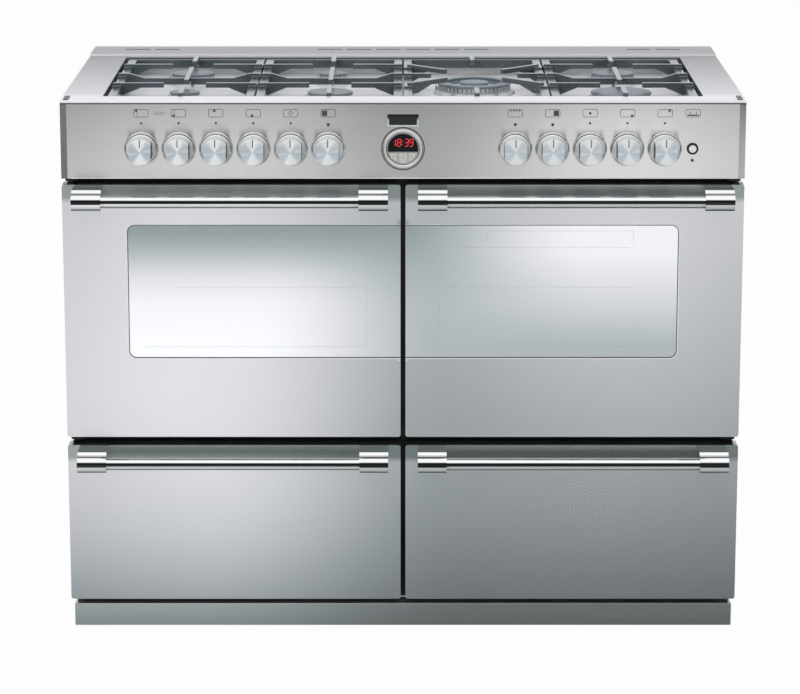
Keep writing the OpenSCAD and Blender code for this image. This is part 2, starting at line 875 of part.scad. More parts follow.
module burner_crowns() {
    bridge_w = 10;
    bridge_h = 4;
    color("darkgray") for (b = burners) translate([support_x(b[0]), well_cy + b[1], well_z + base_h]) {
        crown(b[2]);
        if (b[2] == wok_r) {
            crown(core_r);
            for (a = [45:90:315]) rotate([0, 0, a])
                slab([core_r - 3, -bridge_w / 2, 0], [wok_r - 6, bridge_w / 2, bridge_h]);
        }
    }
}

module cap(r, hole) {
    rim = 1.5;
    difference() {
        rotate_extrude()
            polygon([[0, 0], [r + 1, 0], [r + rim, rim], [r, cap_t - 0.6], [r - 3, cap_t], [0, cap_t]]);
        if (hole > 0) translate([0, 0, -over]) cylinder(r = hole, h = cap_t + 2 * over);
    }
}

module burner_caps() {
    color("slategray") for (b = burners)
        translate([support_x(b[0]), well_cy + b[1], well_z + base_h + crown_h]) {
            cap(b[2], b[2] == wok_r ? wok_r - 15 : 0);
            if (b[2] == wok_r) cap(core_r, 0);
        }
}

// Pan supports. Each stands on its own feet in the well.

// One finger: level on top, deep at the root and thin at the tip
module finger(l, deep, thin) {
    rotate([90, 0, 0]) translate([0, 0, -finger_t / 2]) linear_extrude(finger_t)
        polygon([[0, support_h - deep], [l * 0.2, support_h - deep], [l * 0.55, support_h - thin],
            [l, support_h - thin], [l, support_h], [0, support_h]]);
}

// The rectangular rim with its feet, and the raised lugs where the fingers leave it
module support_frame() {
    x = support_w / 2;
    y = support_d / 2;
    for (right = [false, true]) hand(right) {
        slab([-x, -y, rail_z], [-x + rail_w, y, rail_z + rail_h]);
        for (rear = [0, 1]) mirror([0, rear, 0]) {
            slab([-x, -y, rail_z], [x, -y + rail_w, rail_z + rail_h]);
            slab([-x, -y, clear], [-x + rail_w, -y + foot_l, rail_z + rail_h]);
        }
        for (v = [-ring_dy, 0, ring_dy])
            slab([-x, v - lug_l / 2, rail_z], [-x + rail_w, v + lug_l / 2, support_h - lug_drop]);
    }
}

// The middle bar dips between the rails
module middle_bar(x) {
    dip = 8;
    rotate([90, 0, 0]) translate([0, 0, -finger_t / 2]) linear_extrude(finger_t)
        polygon([[-x, support_h - 17], [-x, support_h], [-x + 18, support_h], [-x + 44, support_h - dip],
            [x - 44, support_h - dip], [x - 18, support_h], [x, support_h], [x, support_h - 17],
            [x - 30, support_h - 19], [-x + 30, support_h - 19]]);
}

module pan_support() {
    x = support_w / 2;
    y = support_d / 2;
    reach = x - tip_gap / 2;
    support_frame();
    for (right = [false, true], v = [-ring_dy, ring_dy])
        hand(right) translate([-x, v, 0]) finger(reach, 20, 8);
    middle_bar(x);
    for (s = [-1, 1]) {
        translate([0, s * y, 0]) rotate([0, 0, -s * 90]) finger(y - ring_dy - tip_gap / 2, 19, 9);
        rotate([0, 0, s * 90]) finger(ring_dy - tip_gap / 2, 16, 8);
    }
}

// The wok burner's support has long fingers that lean in from the four lugs
module wok_support() {
    x = support_w / 2;
    y = support_d / 2;
    support_frame();
    for (s = [-1, 1], t = [-1, 1]) {
        lean = atan2(t * (ring_dy - 25), s * (x - 35));
        translate([s * (x - 8), t * ring_dy, 0]) rotate([0, 0, lean + 180]) finger(88, 19, 8);
    }
    for (right = [false, true]) hand(right) translate([-x, 0, 0]) finger(46, 17, 8);
    for (s = [-1, 1]) translate([0, s * y, 0]) rotate([0, 0, -s * 90]) finger(60, 19, 9);
}

module placed_support(i) {
    color("slategray") translate([support_x(i), well_cy, well_z]) {
        if (i == 2) wok_support(); else pan_support();
    }
}

// Controls

module fascia() {
    x = half - end_cap_w;
    color("silver") difference() {
        union() {
            slab([-x, face_y, fascia_z], [x, face_y + sheet, fascia_top]);
            for (z = [fascia_z, fascia_top - sheet]) slab([-x, face_y, z], [x, frame_y - clear, z + sheet]);
        }
        for (k = knob_slots) hole_y(k * knob_pitch, knob_z, face_y, 2 * spindle_d);
        hole_y(0, knob_z, face_y, clock_face_d + 2);
        hole_y(spark_x, knob_z, face_y, spark_d + 2 * clear);
        for (x = neon_xs) hole_y(x, neon_z, face_y, neon_d);
        hole_y(spark_x, spark_neon_z, face_y, neon_d);
    }
}

// The ends of the fascia, and the corner pieces on the front corners of the hob
module fascia_end_caps() {
    corner_x = -half + 5;
    corner_w = 8;
    corner_y = face_y + 6;
    corner_l = 34;
    color("dimgray") for (right = [false, true]) hand(right) {
        slab([-half, face_y, fascia_z],
            [-half + end_cap_w - clear, frame_y - clear, fascia_top - clear]);
        slab([corner_x, corner_y, hob_z + clear], [corner_x + corner_w, corner_y + corner_l, hob_z + 2]);
    }
}

// A bare rectangular plate in a raised rim, above the clock
module blank_plate() {
    x = plate_w / 2;
    recess = 0.8;
    difference() {
        slab([-x, face_y - plate_t, plate_z - plate_h], [x, face_y, plate_z]);
        slab([-x + plate_rim, face_y - plate_t - over, plate_z - plate_h + plate_rim],
            [x - plate_rim, face_y - plate_t + recess, plate_z - plate_rim]);
    }
}

// A ring with a rounded front edge, its back on the fascia
module bezel_ring(outer, inner, h) {
    w = (outer - inner) / 2;
    r = min(w, h) / 2;
    rotate([90, 0, 0]) rotate_extrude() translate([inner / 2, 0]) {
        square([w, h - r]);
        translate([r, 0]) square([w - 2 * r + 0.01, h]);
        for (x = [r, w - r]) translate([x, h - r]) circle(r);
    }
}

// The clock's bezel: a low outer rim, a step, and a broad raised ring
module clock_bezel() {
    r0 = clock_face_d / 2 + clear;
    r1 = clock_d / 2;
    rim_w = 2.4;
    rim_h = 1.6;
    h = 6.5;
    rotate([90, 0, 0]) rotate_extrude() polygon([[r0, 0], [r1, 0], [r1, rim_h - 0.4], [r1 - 0.4, rim_h],
        [r1 - rim_w, rim_h], [r1 - rim_w - 0.6, h - 1.5], [r1 - rim_w - 2, h], [r0 + 1.5, h], [r0, h - 1]]);
}

module control_bezels() {
    knob_ring_h = 5;
    spark_ring_d = 19;
    spark_ring_h = 3;
    color("gainsboro") {
        for (k = knob_slots) translate([k * knob_pitch, face_y, knob_z])
            bezel_ring(bezel_d, knob_d + 2.4, knob_ring_h);
        translate([0, face_y, knob_z]) clock_bezel();
        blank_plate();
        translate([spark_x, face_y, knob_z]) bezel_ring(spark_ring_d, spark_d + 2 * clear, spark_ring_h);
    }
}

module clock_module() {
    x = 45;
    h = 32;
    body_d = 30;
    well_d = button_t - button_out + clock_travel + clear;
    color("dimgray") difference() {
        union() {
            rod_y(0, knob_z, face_y - clock_out, face_y + clock_body, 2 * clock_r);
            slab([-x, face_y + clock_body, knob_z - h], [x, face_y + clock_body + body_d, knob_z + h]);
        }
        // Window for the display and wells for the three buttons
        sheet_xz(face_y - clock_out - over, clock_out + 2 * over) screen_shape(clock_r - 1, screen_gap);
        for (i = [0:2]) sheet_xz(face_y - clock_out - over, clock_out + over + well_d)
            clock_button_shape(i, 0);
    }
}

// The display fills the clock face above the buttons
module screen_shape(r, gap) {
    intersection() {
        translate([0, knob_z]) circle(r);
        translate([-r, knob_z - clock_split + gap]) square([2 * r, 2 * r]);
    }
}

module clock_button_shape(i, inset) {
    x0 = i == 0 ? -button_r : (i == 1 ? -button_half : button_half) + button_line;
    x1 = i == 2 ? button_r : (i == 1 ? button_half : -button_half) - button_line;
    intersection() {
        translate([0, knob_z]) circle(button_r - inset);
        translate([x0 + inset, knob_z - button_r])
            square([x1 - x0 - 2 * inset, button_r - clock_split - 0.8 - inset]);
    }
}

module clock_button(i) {
    color("gainsboro") sheet_xz(face_y - button_out, button_t) clock_button_shape(i, clear);
}

module lenses() {
    color("black") sheet_xz(face_y - clock_out, clock_out + over)
        screen_shape(clock_r - 1.1, screen_gap + 0.1);
    color("orange") {
        for (x = neon_xs) rod_y(x, neon_z, face_y - neon_out, face_y + neon_l, neon_d - 0.2);
        rod_y(spark_x, spark_neon_z, face_y - neon_out, face_y + neon_l, neon_d - 0.2);
    }
}

module ignition_button() {
    out = spark_travel + 1;
    stop_y = face_y + sheet + 1;
    stop_t = 2.5;
    tail = 22;
    color("white") {
        rod_y(spark_x, knob_z, face_y - out, face_y + tail, spark_d);
        rod_y(spark_x, knob_z, stop_y, stop_y + stop_t, spark_d + spark_flange);
    }
}

// A round knob whose grip has two long flats, turned out of one bar with its spindle
module knob(i) {
    gap = 1.2;
    skirt = 8;
    r = knob_d / 2;
    face_r = r - 2.6;
    line_l = 13;
    line_w = 1.6;
    line_d = 0.6;
    color("gainsboro") translate([knob_slots[i] * knob_pitch, face_y, knob_z]) {
        rotate([90, 0, 0]) difference() {
            union() {
                rotate_extrude($fn = 96) polygon([[0, gap], [r - 0.8, gap], [r, gap + 0.8],
                    [r, skirt], [r - 1, skirt + 1], [0, skirt + 1]]);
                intersection() {
                    rotate_extrude($fn = 96) polygon([[0, gap], [r - 1, gap], [face_r, knob_reach - 0.8],
                        [face_r - 0.8, knob_reach], [0, knob_reach]]);
                    translate([-knob_grip / 2, -knob_d, 0]) cube([knob_grip, 2 * knob_d, 2 * knob_reach]);
                }
            }
            translate([-line_w / 2, face_r - line_l, knob_reach - line_d])
                cube([line_w, line_l + over, over + line_d]);
        }
        rod_y(0, 0, -gap - 1, spindle_l, spindle_d);
    }
}

// The gas rail along the hob front, and its pipe back to the threaded inlet
module gas_rail() {
    z = knob_z - pipe_drop;
    drop_y = back_y - 38;
    nut_d = inlet_d + 11;
    nut_t = 8;
    color("goldenrod") {
        rod_x(rail_y, z, -inlet_x, inlet_x, pipe_d);
        for (y = [rail_y, drop_y]) translate([inlet_x, y, z]) sphere(d = pipe_d + 6);
        rod_y(inlet_x, z, rail_y, drop_y, pipe_d);
        translate([inlet_x, drop_y, service_z]) cylinder(d = pipe_d, h = z - service_z);
        translate([inlet_x, drop_y, service_z]) sphere(d = inlet_d + 5);
        rod_y(inlet_x, service_z, drop_y, wall_y - 3, inlet_d);
        rod_y(inlet_x, service_z, back_y + sheet + clear, back_y + nut_t, nut_d);
    }
}

// Taps on the rail for the burners, and rotary switches for the ovens
module gas_taps() {
    tap_l = 48;
    switch_l = 42;
    block_x = 9;
    foot_x = 6;
    foot_t = 4;
    color("darkgoldenrod") for (i = [0:10]) translate([knob_slots[i] * knob_pitch, 0, knob_z]) difference() {
        union() {
            if (is_gas(i)) {
                rod_y(0, 0, tap_y, tap_y + tap_l, tap_d);
                slab([-block_x, tap_y + tap_l - 10, tap_seat], [block_x, rail_y + foot_t, block_x]);
            } else {
                slab([-switch_w / 2, tap_y, -switch_w / 2], [switch_w / 2, tap_y + switch_l, switch_w / 2]);
                slab([-foot_x, tap_y + switch_l - foot_x, tap_seat],
                    [foot_x, rail_y + foot_t, tap_seat + foot_t]);
            }
        }
        rod_y(0, 0, tap_y - foot_t, face_y + spindle_l + 2, spindle_d + 2 * fit);
    }
}

side_panels();
back_panel();
base_tray();
front_frame();
oven_left();
oven_right();
oven_racks();
grill_element();
fan_housing();
oven_fan();
door_seals();
hob_top();
vent_trim();
burner_bases();
burner_crowns();
burner_caps();
gas_rail();
gas_taps();
fascia();
fascia_end_caps();
control_bezels();
clock_module();
lenses();
plinth();
levelling_feet();
drawer_runners();
door_pivots();
placed_support(0);  // pan_support_1
placed_support(1);  // pan_support_2
placed_support(2);  // pan_support_3
placed_support(3);  // pan_support_4
door_panel(false);  // door_panel_left
door_glass(false);  // door_glass_left
door_pan(false);  // door_pan_left
handle(door_top, false);  // door_handle_left
door_panel(true);  // door_panel_right
door_glass(true);  // door_glass_right
door_pan(true);  // door_pan_right
handle(door_top, true);  // door_handle_right
drawer_front(false);  // drawer_front_left
drawer_box(false);  // drawer_box_left
handle(drawer_top, false);  // drawer_handle_left
drawer_front(true);  // drawer_front_right
drawer_box(true);  // drawer_box_right
handle(drawer_top, true);  // drawer_handle_right
for (i = [0:10]) knob(i);
ignition_button();
for (i = [0:2]) clock_button(i);
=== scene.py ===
"""The looks of a free-standing dual fuel range cooker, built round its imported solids."""

import math

import bmesh
import bpy
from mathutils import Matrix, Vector


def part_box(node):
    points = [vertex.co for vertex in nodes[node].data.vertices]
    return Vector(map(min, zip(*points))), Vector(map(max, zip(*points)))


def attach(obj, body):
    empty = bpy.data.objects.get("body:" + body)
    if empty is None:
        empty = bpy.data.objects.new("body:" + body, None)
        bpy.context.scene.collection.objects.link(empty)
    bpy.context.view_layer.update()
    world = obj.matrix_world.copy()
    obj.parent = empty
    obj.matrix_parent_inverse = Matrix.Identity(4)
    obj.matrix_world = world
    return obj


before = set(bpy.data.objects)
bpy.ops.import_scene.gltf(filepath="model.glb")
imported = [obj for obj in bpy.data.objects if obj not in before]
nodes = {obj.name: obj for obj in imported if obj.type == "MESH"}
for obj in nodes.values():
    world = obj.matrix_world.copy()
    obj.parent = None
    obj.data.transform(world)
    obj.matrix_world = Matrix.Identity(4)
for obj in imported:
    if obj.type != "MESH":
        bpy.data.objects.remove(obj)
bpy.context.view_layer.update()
MM = 0.001

# Places read from the imported parts
FACE_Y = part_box("fascia")[0].y
FASCIA_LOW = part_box("fascia")[0].z
FASCIA_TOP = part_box("fascia")[1].z
HOB_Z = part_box("hob_top")[1].z
KNOB_Z = (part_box("knob_1")[0].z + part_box("knob_1")[1].z) / 2
KNOB_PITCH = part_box("knob_2")[0].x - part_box("knob_1")[0].x
BACK_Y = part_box("back_panel")[1].y
SPARK_X = (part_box("ignition_button")[0].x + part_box("ignition_button")[1].x) / 2
SCREEN_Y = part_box("clock_module")[0].y
SUPPORT_SIDE_GAP = 5 * MM
WELL_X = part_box("pan_support_4")[1].x + SUPPORT_SIDE_GAP

# Reach of pieces that share a material, in metres from their middles
CLOCK_R = 35.3 * MM
LIGHTER_R = 12.5 * MM
PLATE_REACH = 30 * MM
DISPLAY_REACH = 50 * MM
KNOB_FLAT_X = 17.7 * MM

# Painted shade: the grey strip on the sheet behind each handle bar, where the bar shades it
STRIP_H = 20 * MM
HANDLE_SHADE_GREY = (0.41, 0.45, 0.44)

# The brushing runs along x, a little tilted so that it is defined on the end faces too
GRAIN = (1.0, 0.02, 0.02)


class Shade:
    """A material with a Principled shader, and short calls that add nodes to it."""

    def __init__(self, name, color, **sockets):
        self.mat = bpy.data.materials.new(name)
        self.mat.use_nodes = True
        self.tree = self.mat.node_tree
        self.shader = self.tree.nodes["Principled BSDF"]
        self.shader.inputs["Base Color"].default_value = (*color, 1)
        for key, value in sockets.items():
            socket = key.replace("_", " ").title().replace("Ior", "IOR")
            self.shader.inputs[socket].default_value = value
        self.color = color

    def node(self, kind, **settings):
        made = self.tree.nodes.new("ShaderNode" + kind)
        for key, value in settings.items():
            setattr(made, key, value)
        return made

    def link(self, source, target):
        self.tree.links.new(source, target)
        return target

    def feed(self, socket, source):
        self.link(source, self.shader.inputs[socket])

    def coords(self, scale=(1, 1, 1), shift=(0, 0, 0)):
        place = self.node("TexCoord")
        mapping = self.node("Mapping")
        mapping.inputs["Scale"].default_value = scale
        mapping.inputs["Location"].default_value = shift
        self.link(place.outputs["Object"], mapping.inputs["Vector"])
        return mapping.outputs["Vector"]

    def noise(self, scale, detail=2.0, rough=0.5, vector=(1, 1, 1)):
        made = self.node("TexNoise")
        made.inputs["Scale"].default_value = scale
        made.inputs["Detail"].default_value = detail
        made.inputs["Roughness"].default_value = rough
        self.link(self.coords(vector), made.inputs["Vector"])
        return made.outputs["Fac"]

    def span(self, source, low, high, start=0.0, end=1.0):
        made = self.node("MapRange")
        made.inputs["From Min"].default_value = start
        made.inputs["From Max"].default_value = end
        made.inputs["To Min"].default_value = low
        made.inputs["To Max"].default_value = high
        self.link(source, made.inputs["Value"])
        return made.outputs["Result"]

    def math(self, operation, first, second=None):
        made = self.node("Math", operation=operation)
        for socket, value in zip(made.inputs, (first, second)):
            if value is None:
                continue
            if isinstance(value, (int, float)):
                socket.default_value = value
            else:
                self.link(value, socket)
        return made.outputs["Value"]

    def inverse(self, level):
        return self.math("SUBTRACT", 1.0, level)

    def times(self, first, second):
        return self.math("MULTIPLY", first, second)

    def larger(self, first, second):
        return self.math("MAXIMUM", first, second)

    def reach(self, across, up):
        """Length of the line with these two sides."""
        return self.math("SQRT", self.math("ADD", self.times(across, across), self.times(up, up)))

    def blend(self, factor, first, second):
        made = self.node("Mix", data_type="RGBA")
        self.link(factor, made.inputs[0])
        for socket, value in ((made.inputs[6], first), (made.inputs[7], second)):
            if isinstance(value, tuple):
                socket.default_value = (*value, 1)
            else:
                self.link(value, socket)
        return made.outputs[2]

    def blend_levels(self, factor, first, second):
        made = self.node("Mix", data_type="FLOAT")
        for socket, value in zip(made.inputs[:1] + made.inputs[2:4], (factor, first, second)):
            self.link(value, socket)
        return made.outputs[0]

    def mottled(self, level, color, spread):
        """A colour that runs from a little darker to a little lighter with the level."""
        return self.blend(level, tone(color, 1 - spread), tone(color, 1 + spread))

    def scaled(self, color, level):
        """A colour times a number."""
        made = self.node("VectorMath", operation="SCALE")
        self.link(color, made.inputs[0])
        self.link(level, made.inputs["Scale"])
        return made.outputs[0]

    def place(self, axis):
        parts = self.node("SeparateXYZ")
        self.link(self.node("TexCoord").outputs["Object"], parts.inputs[0])
        return parts.outputs[axis]

    def ramp(self, source, stops, kind="LINEAR"):
        """A level that runs through (place, level) pairs."""
        start, end = stops[0][0], stops[-1][0]
        made = self.node("ValToRGB")
        made.color_ramp.interpolation = kind
        elements = made.color_ramp.elements
        while len(elements) < len(stops):
            elements.new(0.5)
        for element, (place, level) in zip(elements, stops):
            element.position = (place - start) / (end - start)
            element.color = (level, level, level, 1)
        self.link(self.span(source, 0.0, 1.0, start, end), made.inputs[0])
        return made.outputs[0]

    def along(self, axis, stops):
        """A level that runs smoothly through (metres, level) pairs along one axis."""
        return self.ramp(self.place(axis), stops, "B_SPLINE")

    def facing(self, axis):
        """How far the surface faces along one of the piece's own axes, from -1 to 1."""
        turn = self.node("VectorTransform", vector_type="NORMAL")
        turn.convert_from = "WORLD"
        turn.convert_to = "OBJECT"
        self.link(self.node("NewGeometry").outputs["Normal"], turn.inputs[0])
        parts = self.node("SeparateXYZ")
        self.link(turn.outputs[0], parts.inputs[0])
        return parts.outputs[axis]

    def aside(self):
        """How far the surface faces along x, either way, from 0 to 1."""
        return self.math("ABSOLUTE", self.facing(0))

    def streaks(self):
        """Fine lines along x."""
        return self.noise(1.0, 4.0, 0.65, (4, 900, 900))

    def smears(self, low, high):
        return self.span(self.noise(18.0, 3.0, 0.6), low, high, 0.3, 0.7)

    def brush(self, direction, level):
        """Stretches the highlights across the direction, given in the piece's own axes."""
        self.shader.inputs["Anisotropic"].default_value = level
        self.shader.inputs["Anisotropic Rotation"].default_value = 0.25
        turn = self.node("VectorTransform", vector_type="VECTOR")
        turn.convert_from = "OBJECT"
        turn.convert_to = "WORLD"
        if isinstance(direction, tuple):
            turn.inputs[0].default_value = direction
        else:
            self.link(direction, turn.inputs[0])
        self.feed("Tangent", turn.outputs[0])

    def bump(self, height, strength, distance):
        made = self.node("Bump")
        made.inputs["Strength"].default_value = strength
        made.inputs["Distance"].default_value = distance
        self.link(height, made.inputs["Height"])
        self.feed("Normal", made.outputs["Normal"])


def tone(color, factor):
    """A colour made darker or lighter."""
    return tuple(min(channel * factor, 1.0) for channel in color)


def from_knob(shade):
    """Distance in x from the nearest place on the knobs' grid, as a share of their pitch."""
    turns = shade.math("ADD", shade.math("DIVIDE", shade.place(0), KNOB_PITCH), 0.5)
    return shade.math("SUBTRACT", shade.math("FRACT", turns), 0.5)


def over_knobs(shade):
    """Height over the knobs' axes."""
    return shade.math("SUBTRACT", shade.place(2), KNOB_Z)


def painted_knob_shade(shade):
    """Painted shade: the dark tone on the sheet over each knob, where the knob shadows the sheet and
    darkens its reflection.
    """
    across = shade.math("ABSOLUTE", from_knob(shade))
    width = shade.ramp(across, ((0.0, 0.4), (0.18, 0.6), (0.3, 1.0), (0.41, 0.0)))
    height = shade.ramp(over_knobs(shade), (
        (0.0, 0.0), (9 * MM, 0.0), (16 * MM, 1.0), (22 * MM, 0.8), (34 * MM, 0.0)))
    groups = shade.ramp(shade.math("DIVIDE", shade.place(0), KNOB_PITCH), (
        (-7.51, 0.0), (-7.5, 1.0), (-1.5, 1.0), (-1.49, 0.0),
        (2.49, 0.0), (2.5, 1.0), (7.5, 1.0), (7.51, 0.0)))
    return shade.times(shade.times(shade.times(width, height), groups), 0.5)


def brushed(name, color, rough=0.25, reflection_sway=None, rise=None, handle_shade_top=None, knobs=False):
    """Sheet steel brushed along x. Its brightness follows painted reflections over the width and over
    the height.

    The handle shade top is the upper edge of a painted shade strip that lies behind a handle bar.
    """
    shade = Shade(name, color, metallic=1.0, roughness=rough)
    streaks = shade.streaks()
    surface = shade.mottled(shade.noise(5.0, 2.0, 0.5), color, 0.02)
    surface = shade.scaled(surface, shade.span(streaks, 0.988, 1.012, 0.3, 0.7))
    # Painted reflections over the width and the height
    if reflection_sway:
        surface = shade.scaled(surface, shade.along(0, reflection_sway))
    if rise:
        surface = shade.scaled(surface, shade.along(2, rise))
    # Painted shade over each knob
    if knobs:
        surface = shade.scaled(surface, shade.inverse(painted_knob_shade(shade)))
    # Painted shade: a grey strip on the sheet below its top edge, behind the handle bar
    if handle_shade_top:
        low = handle_shade_top - STRIP_H
        strip = shade.ramp(shade.place(2), (
            (low - 10 * MM, 0.0), (low, 1.0), (handle_shade_top, 1.0), (handle_shade_top + 2 * MM, 0.0)))
        surface = shade.blend(strip, surface, HANDLE_SHADE_GREY)
    shade.feed("Base Color", surface)
    shade.feed("Roughness", shade.span(streaks, rough - 0.02, rough + 0.02, 0.3, 0.7))
    shade.brush(GRAIN, 0.88)
    shade.bump(streaks, 0.02, 0.0001)
    return shade.mat


def chrome(name, color=(0.86, 0.87, 0.88), rough=0.05):
    """Bright plating whose reflections waver a little, as on formed metal."""
    shade = Shade(name, color, metallic=1.0, roughness=rough)
    shade.feed("Roughness", shade.smears(rough * 0.6, rough * 1.6))
    shade.bump(shade.noise(30.0, 1.0, 0.4), 0.04, 0.0006)
    return shade.mat


def bar_chrome(name, color):
    """Plating on the round bars, with painted reflections: a dark band runs along them a little above
    their foremost line.
    """
    shade = Shade(name, color, metallic=1.0, roughness=0.05)
    up = shade.facing(2)
    # Painted reflections: dark and bright stripes by the way the surface faces, and bright ends
    reflection_bands = shade.ramp(up, (
        (-1.0, 0.5), (-0.95, 0.08), (-0.76, 0.08), (-0.68, 1.0), (-0.2, 1.0), (-0.14, 0.04),
        (0.35, 0.04), (0.45, 1.0), (0.82, 1.0), (0.87, 0.15), (0.93, 0.15), (0.965, 1.0), (1.0, 1.0)))
    ends = shade.ramp(shade.aside(), ((0.0, 0.0), (0.7, 0.0), (0.9, 0.7), (1.0, 0.7)))
    reflection_bands = shade.larger(reflection_bands, ends)
    # Painted reflection: the flat tops of the brackets are a dull grey
    flat = shade.ramp(up, ((0.975, 0.0), (0.99, 1.0)))
    plated = shade.scaled(shade.blend(reflection_bands, color, color), reflection_bands)
    shade.feed("Base Color", shade.blend(flat, plated, (0.27, 0.32, 0.31)))
    # The bright stripe below the dark band is made less metallic, so it keeps its painted brightness
    under = shade.ramp(up, ((-0.76, 0.0), (-0.68, 0.6), (-0.2, 0.6), (-0.14, 0.0)))
    shade.feed("Metallic", shade.inverse(shade.larger(shade.times(flat, 0.85), under)))
    shade.feed("Roughness", shade.smears(0.03, 0.08))
    return shade.mat


def bezel_chrome(name, color):
    """Plated rings: polished round the knobs, satin round the clock, black round the lighter button,
    with painted shade and painted reflections.
    """
    shade = Shade(name, color, metallic=1.0, roughness=0.05)
    x, z = shade.place(0), shade.place(2)
    radius = shade.reach(x, over_knobs(shade))
    clock = shade.math("LESS_THAN", radius, CLOCK_R)
    from_lighter = shade.math("ABSOLUTE", shade.math("SUBTRACT", x, SPARK_X))
    lighter = shade.math("LESS_THAN", from_lighter, LIGHTER_R)
    smears = shade.smears(0.03, 0.08)
    shade.feed("Roughness", shade.math("ADD", smears, shade.times(clock, 0.28)))
    # Painted shade: a dark line near the outer edge of the clock ring
    rim = shade.ramp(radius, (
        (0.0, 1.0), (CLOCK_R - 2.8 * MM, 1.0), (CLOCK_R - 1.8 * MM, 0.1), (CLOCK_R, 0.1)))
    satin_color = (0.84, 0.83, 0.80)
    satin = shade.scaled(shade.blend(smears, satin_color, satin_color), rim)
    # Painted shadow: the rim of the bare plate is dark along its top
    plate = shade.math("LESS_THAN", shade.math("ABSOLUTE", x), PLATE_REACH)
    shadow = shade.ramp(z, (
        (FASCIA_TOP - 36 * MM, 1.0), (FASCIA_TOP - 26 * MM, 0.9),
        (FASCIA_TOP - 21 * MM, 0.03), (FASCIA_TOP - 12 * MM, 0.02)))
    # Painted reflection: dark lines where the rings face sideways
    sides = shade.ramp(shade.aside(), (
        (0.0, 1.0), (0.5, 1.0), (0.58, 0.12), (0.72, 0.12), (0.8, 1.0), (1.0, 1.0)))
    depth = shade.blend_levels(plate, sides, shadow)
    polished = shade.scaled(shade.blend(smears, color, color), depth)
    plated = shade.blend(clock, polished, satin)
    shade.feed("Base Color", shade.blend(lighter, plated, (0.012, 0.012, 0.013)))
    lit = shade.ramp(shade.facing(2), ((-1.0, 0.0), (0.25, 0.0), (0.5, 0.6), (1.0, 0.6)))
    shade.feed("Metallic", shade.inverse(shade.larger(lighter, lit)))
    return shade.mat


def hob_steel(name, color):
    """The hob pressing, with a painted reflection: bright at the front, deeper in tone along the sides,
    pale in the well.
    """
    shade = Shade(name, color, metallic=1.0, roughness=0.34)
    streaks = shade.streaks()
    y, z = shade.place(1), shade.place(2)
    # Painted reflection: bright at the front, deeper in tone towards the rear
    border_reflection = shade.ramp(y, (
        (-0.28, 1.0), (-0.225, 0.98), (-0.2, 0.8), (-0.05, 0.66), (0.12, 0.5), (0.33, 0.38)))
    in_well = shade.span(z, 1.0, 0.0, HOB_Z - 18 * MM, HOB_Z - 8 * MM)
    # Painted highlight on the rounded front nose
    nose = shade.ramp(y, ((-0.272, 1.0), (-0.2665, 1.0), (-0.262, 0.0)))
    plain = shade.larger(shade.times(in_well, 0.75), shade.times(nose, 0.7))
    shade.feed("Metallic", shade.inverse(plain))
    # Painted shadow: a dark line under the front lip
    under = shade.ramp(z, ((HOB_Z - 4.4 * MM, 0.06), (HOB_Z - 3.4 * MM, 1.0)))
    level = shade.blend_levels(nose, shade.larger(border_reflection, in_well), under)
    # Painted shade on the sides of the well
    wall_shade = shade.ramp(shade.aside(), ((0.0, 0.0), (0.7, 0.0), (0.9, 0.7), (1.0, 0.7)))
    inside = shade.math("LESS_THAN", shade.math("ABSOLUTE", shade.place(0)), WELL_X + 2 * MM)
    level = shade.times(level, shade.inverse(shade.times(wall_shade, inside)))
    shade.feed("Base Color", shade.scaled(shade.mottled(streaks, color, 0.02), level))
    shade.feed("Roughness", shade.span(streaks, 0.32, 0.37, 0.3, 0.7))
    shade.brush(GRAIN, 0.8)
    return shade.mat


def trim_steel(name, color):
    """The vent trim: mid grey on top, with a painted highlight along its folded front edge."""
    shade = Shade(name, color, metallic=1.0, roughness=0.3)
    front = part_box("vent_trim")[0].y
    # Painted highlight on the front edge
    fold_highlight = shade.ramp(shade.place(1), ((front, 1.0), (front + 0.4 * MM, 1.0), (front + 1.2 * MM, 0.0)))
    surface = shade.mottled(shade.streaks(), color, 0.02)
    shade.feed("Base Color", shade.blend(fold_highlight, surface, (0.95, 0.95, 0.96)))
    shade.feed("Metallic", shade.inverse(shade.times(fold_highlight, 0.8)))
    return shade.mat


def end_cap_paint(name, color):
    """Mouldings at both ends of the fascia. The right one has painted light, paler towards its foot,
    and their tops painted shade.
    """
    shade = Shade(name, color, roughness=0.38)
    x, z = shade.place(0), shade.place(2)
    left = shade.mottled(shade.noise(9.0, 3.0, 0.5), color, 0.06)
    # Painted light: the front of the right cap grows paler towards its foot
    foot = shade.ramp(z, (
        (FASCIA_LOW, 1.0), (FASCIA_LOW + 60 * MM, 0.75),
        (FASCIA_TOP - 10 * MM, 0.25), (FASCIA_TOP, 0.1)))
    pale = shade.blend(foot, color, (0.52, 0.51, 0.49))
    front = shade.ramp(shade.facing(1), ((-1.0, 1.0), (-0.7, 1.0), (-0.4, 0.0), (1.0, 0.0)))
    right = shade.times(shade.math("GREATER_THAN", x, 0.0), front)
    # Painted shade: faces that look up are darker
    top_shade = shade.ramp(shade.facing(2), ((-1.0, 1.0), (0.3, 1.0), (0.7, 0.4), (1.0, 0.4)))
    shade.feed("Base Color", shade.scaled(shade.blend(right, left, pale), top_shade))
    shade.bump(shade.noise(900.0, 2.0, 0.5), 0.1, 0.0002)
    return shade.mat


def lens_plastic(name, color, amber):
    """The dark display, and the small brown-grey lenses beside it."""
    shade = Shade(name, color, roughness=0.1, specular_ior_level=0.15)
    far = shade.math("GREATER_THAN", shade.math("ABSOLUTE", shade.place(0)), DISPLAY_REACH)
    glass = shade.mottled(shade.noise(60.0, 2.0, 0.5), color, 0.2)
    shade.feed("Base Color", shade.blend(far, glass, amber))
    return shade.mat


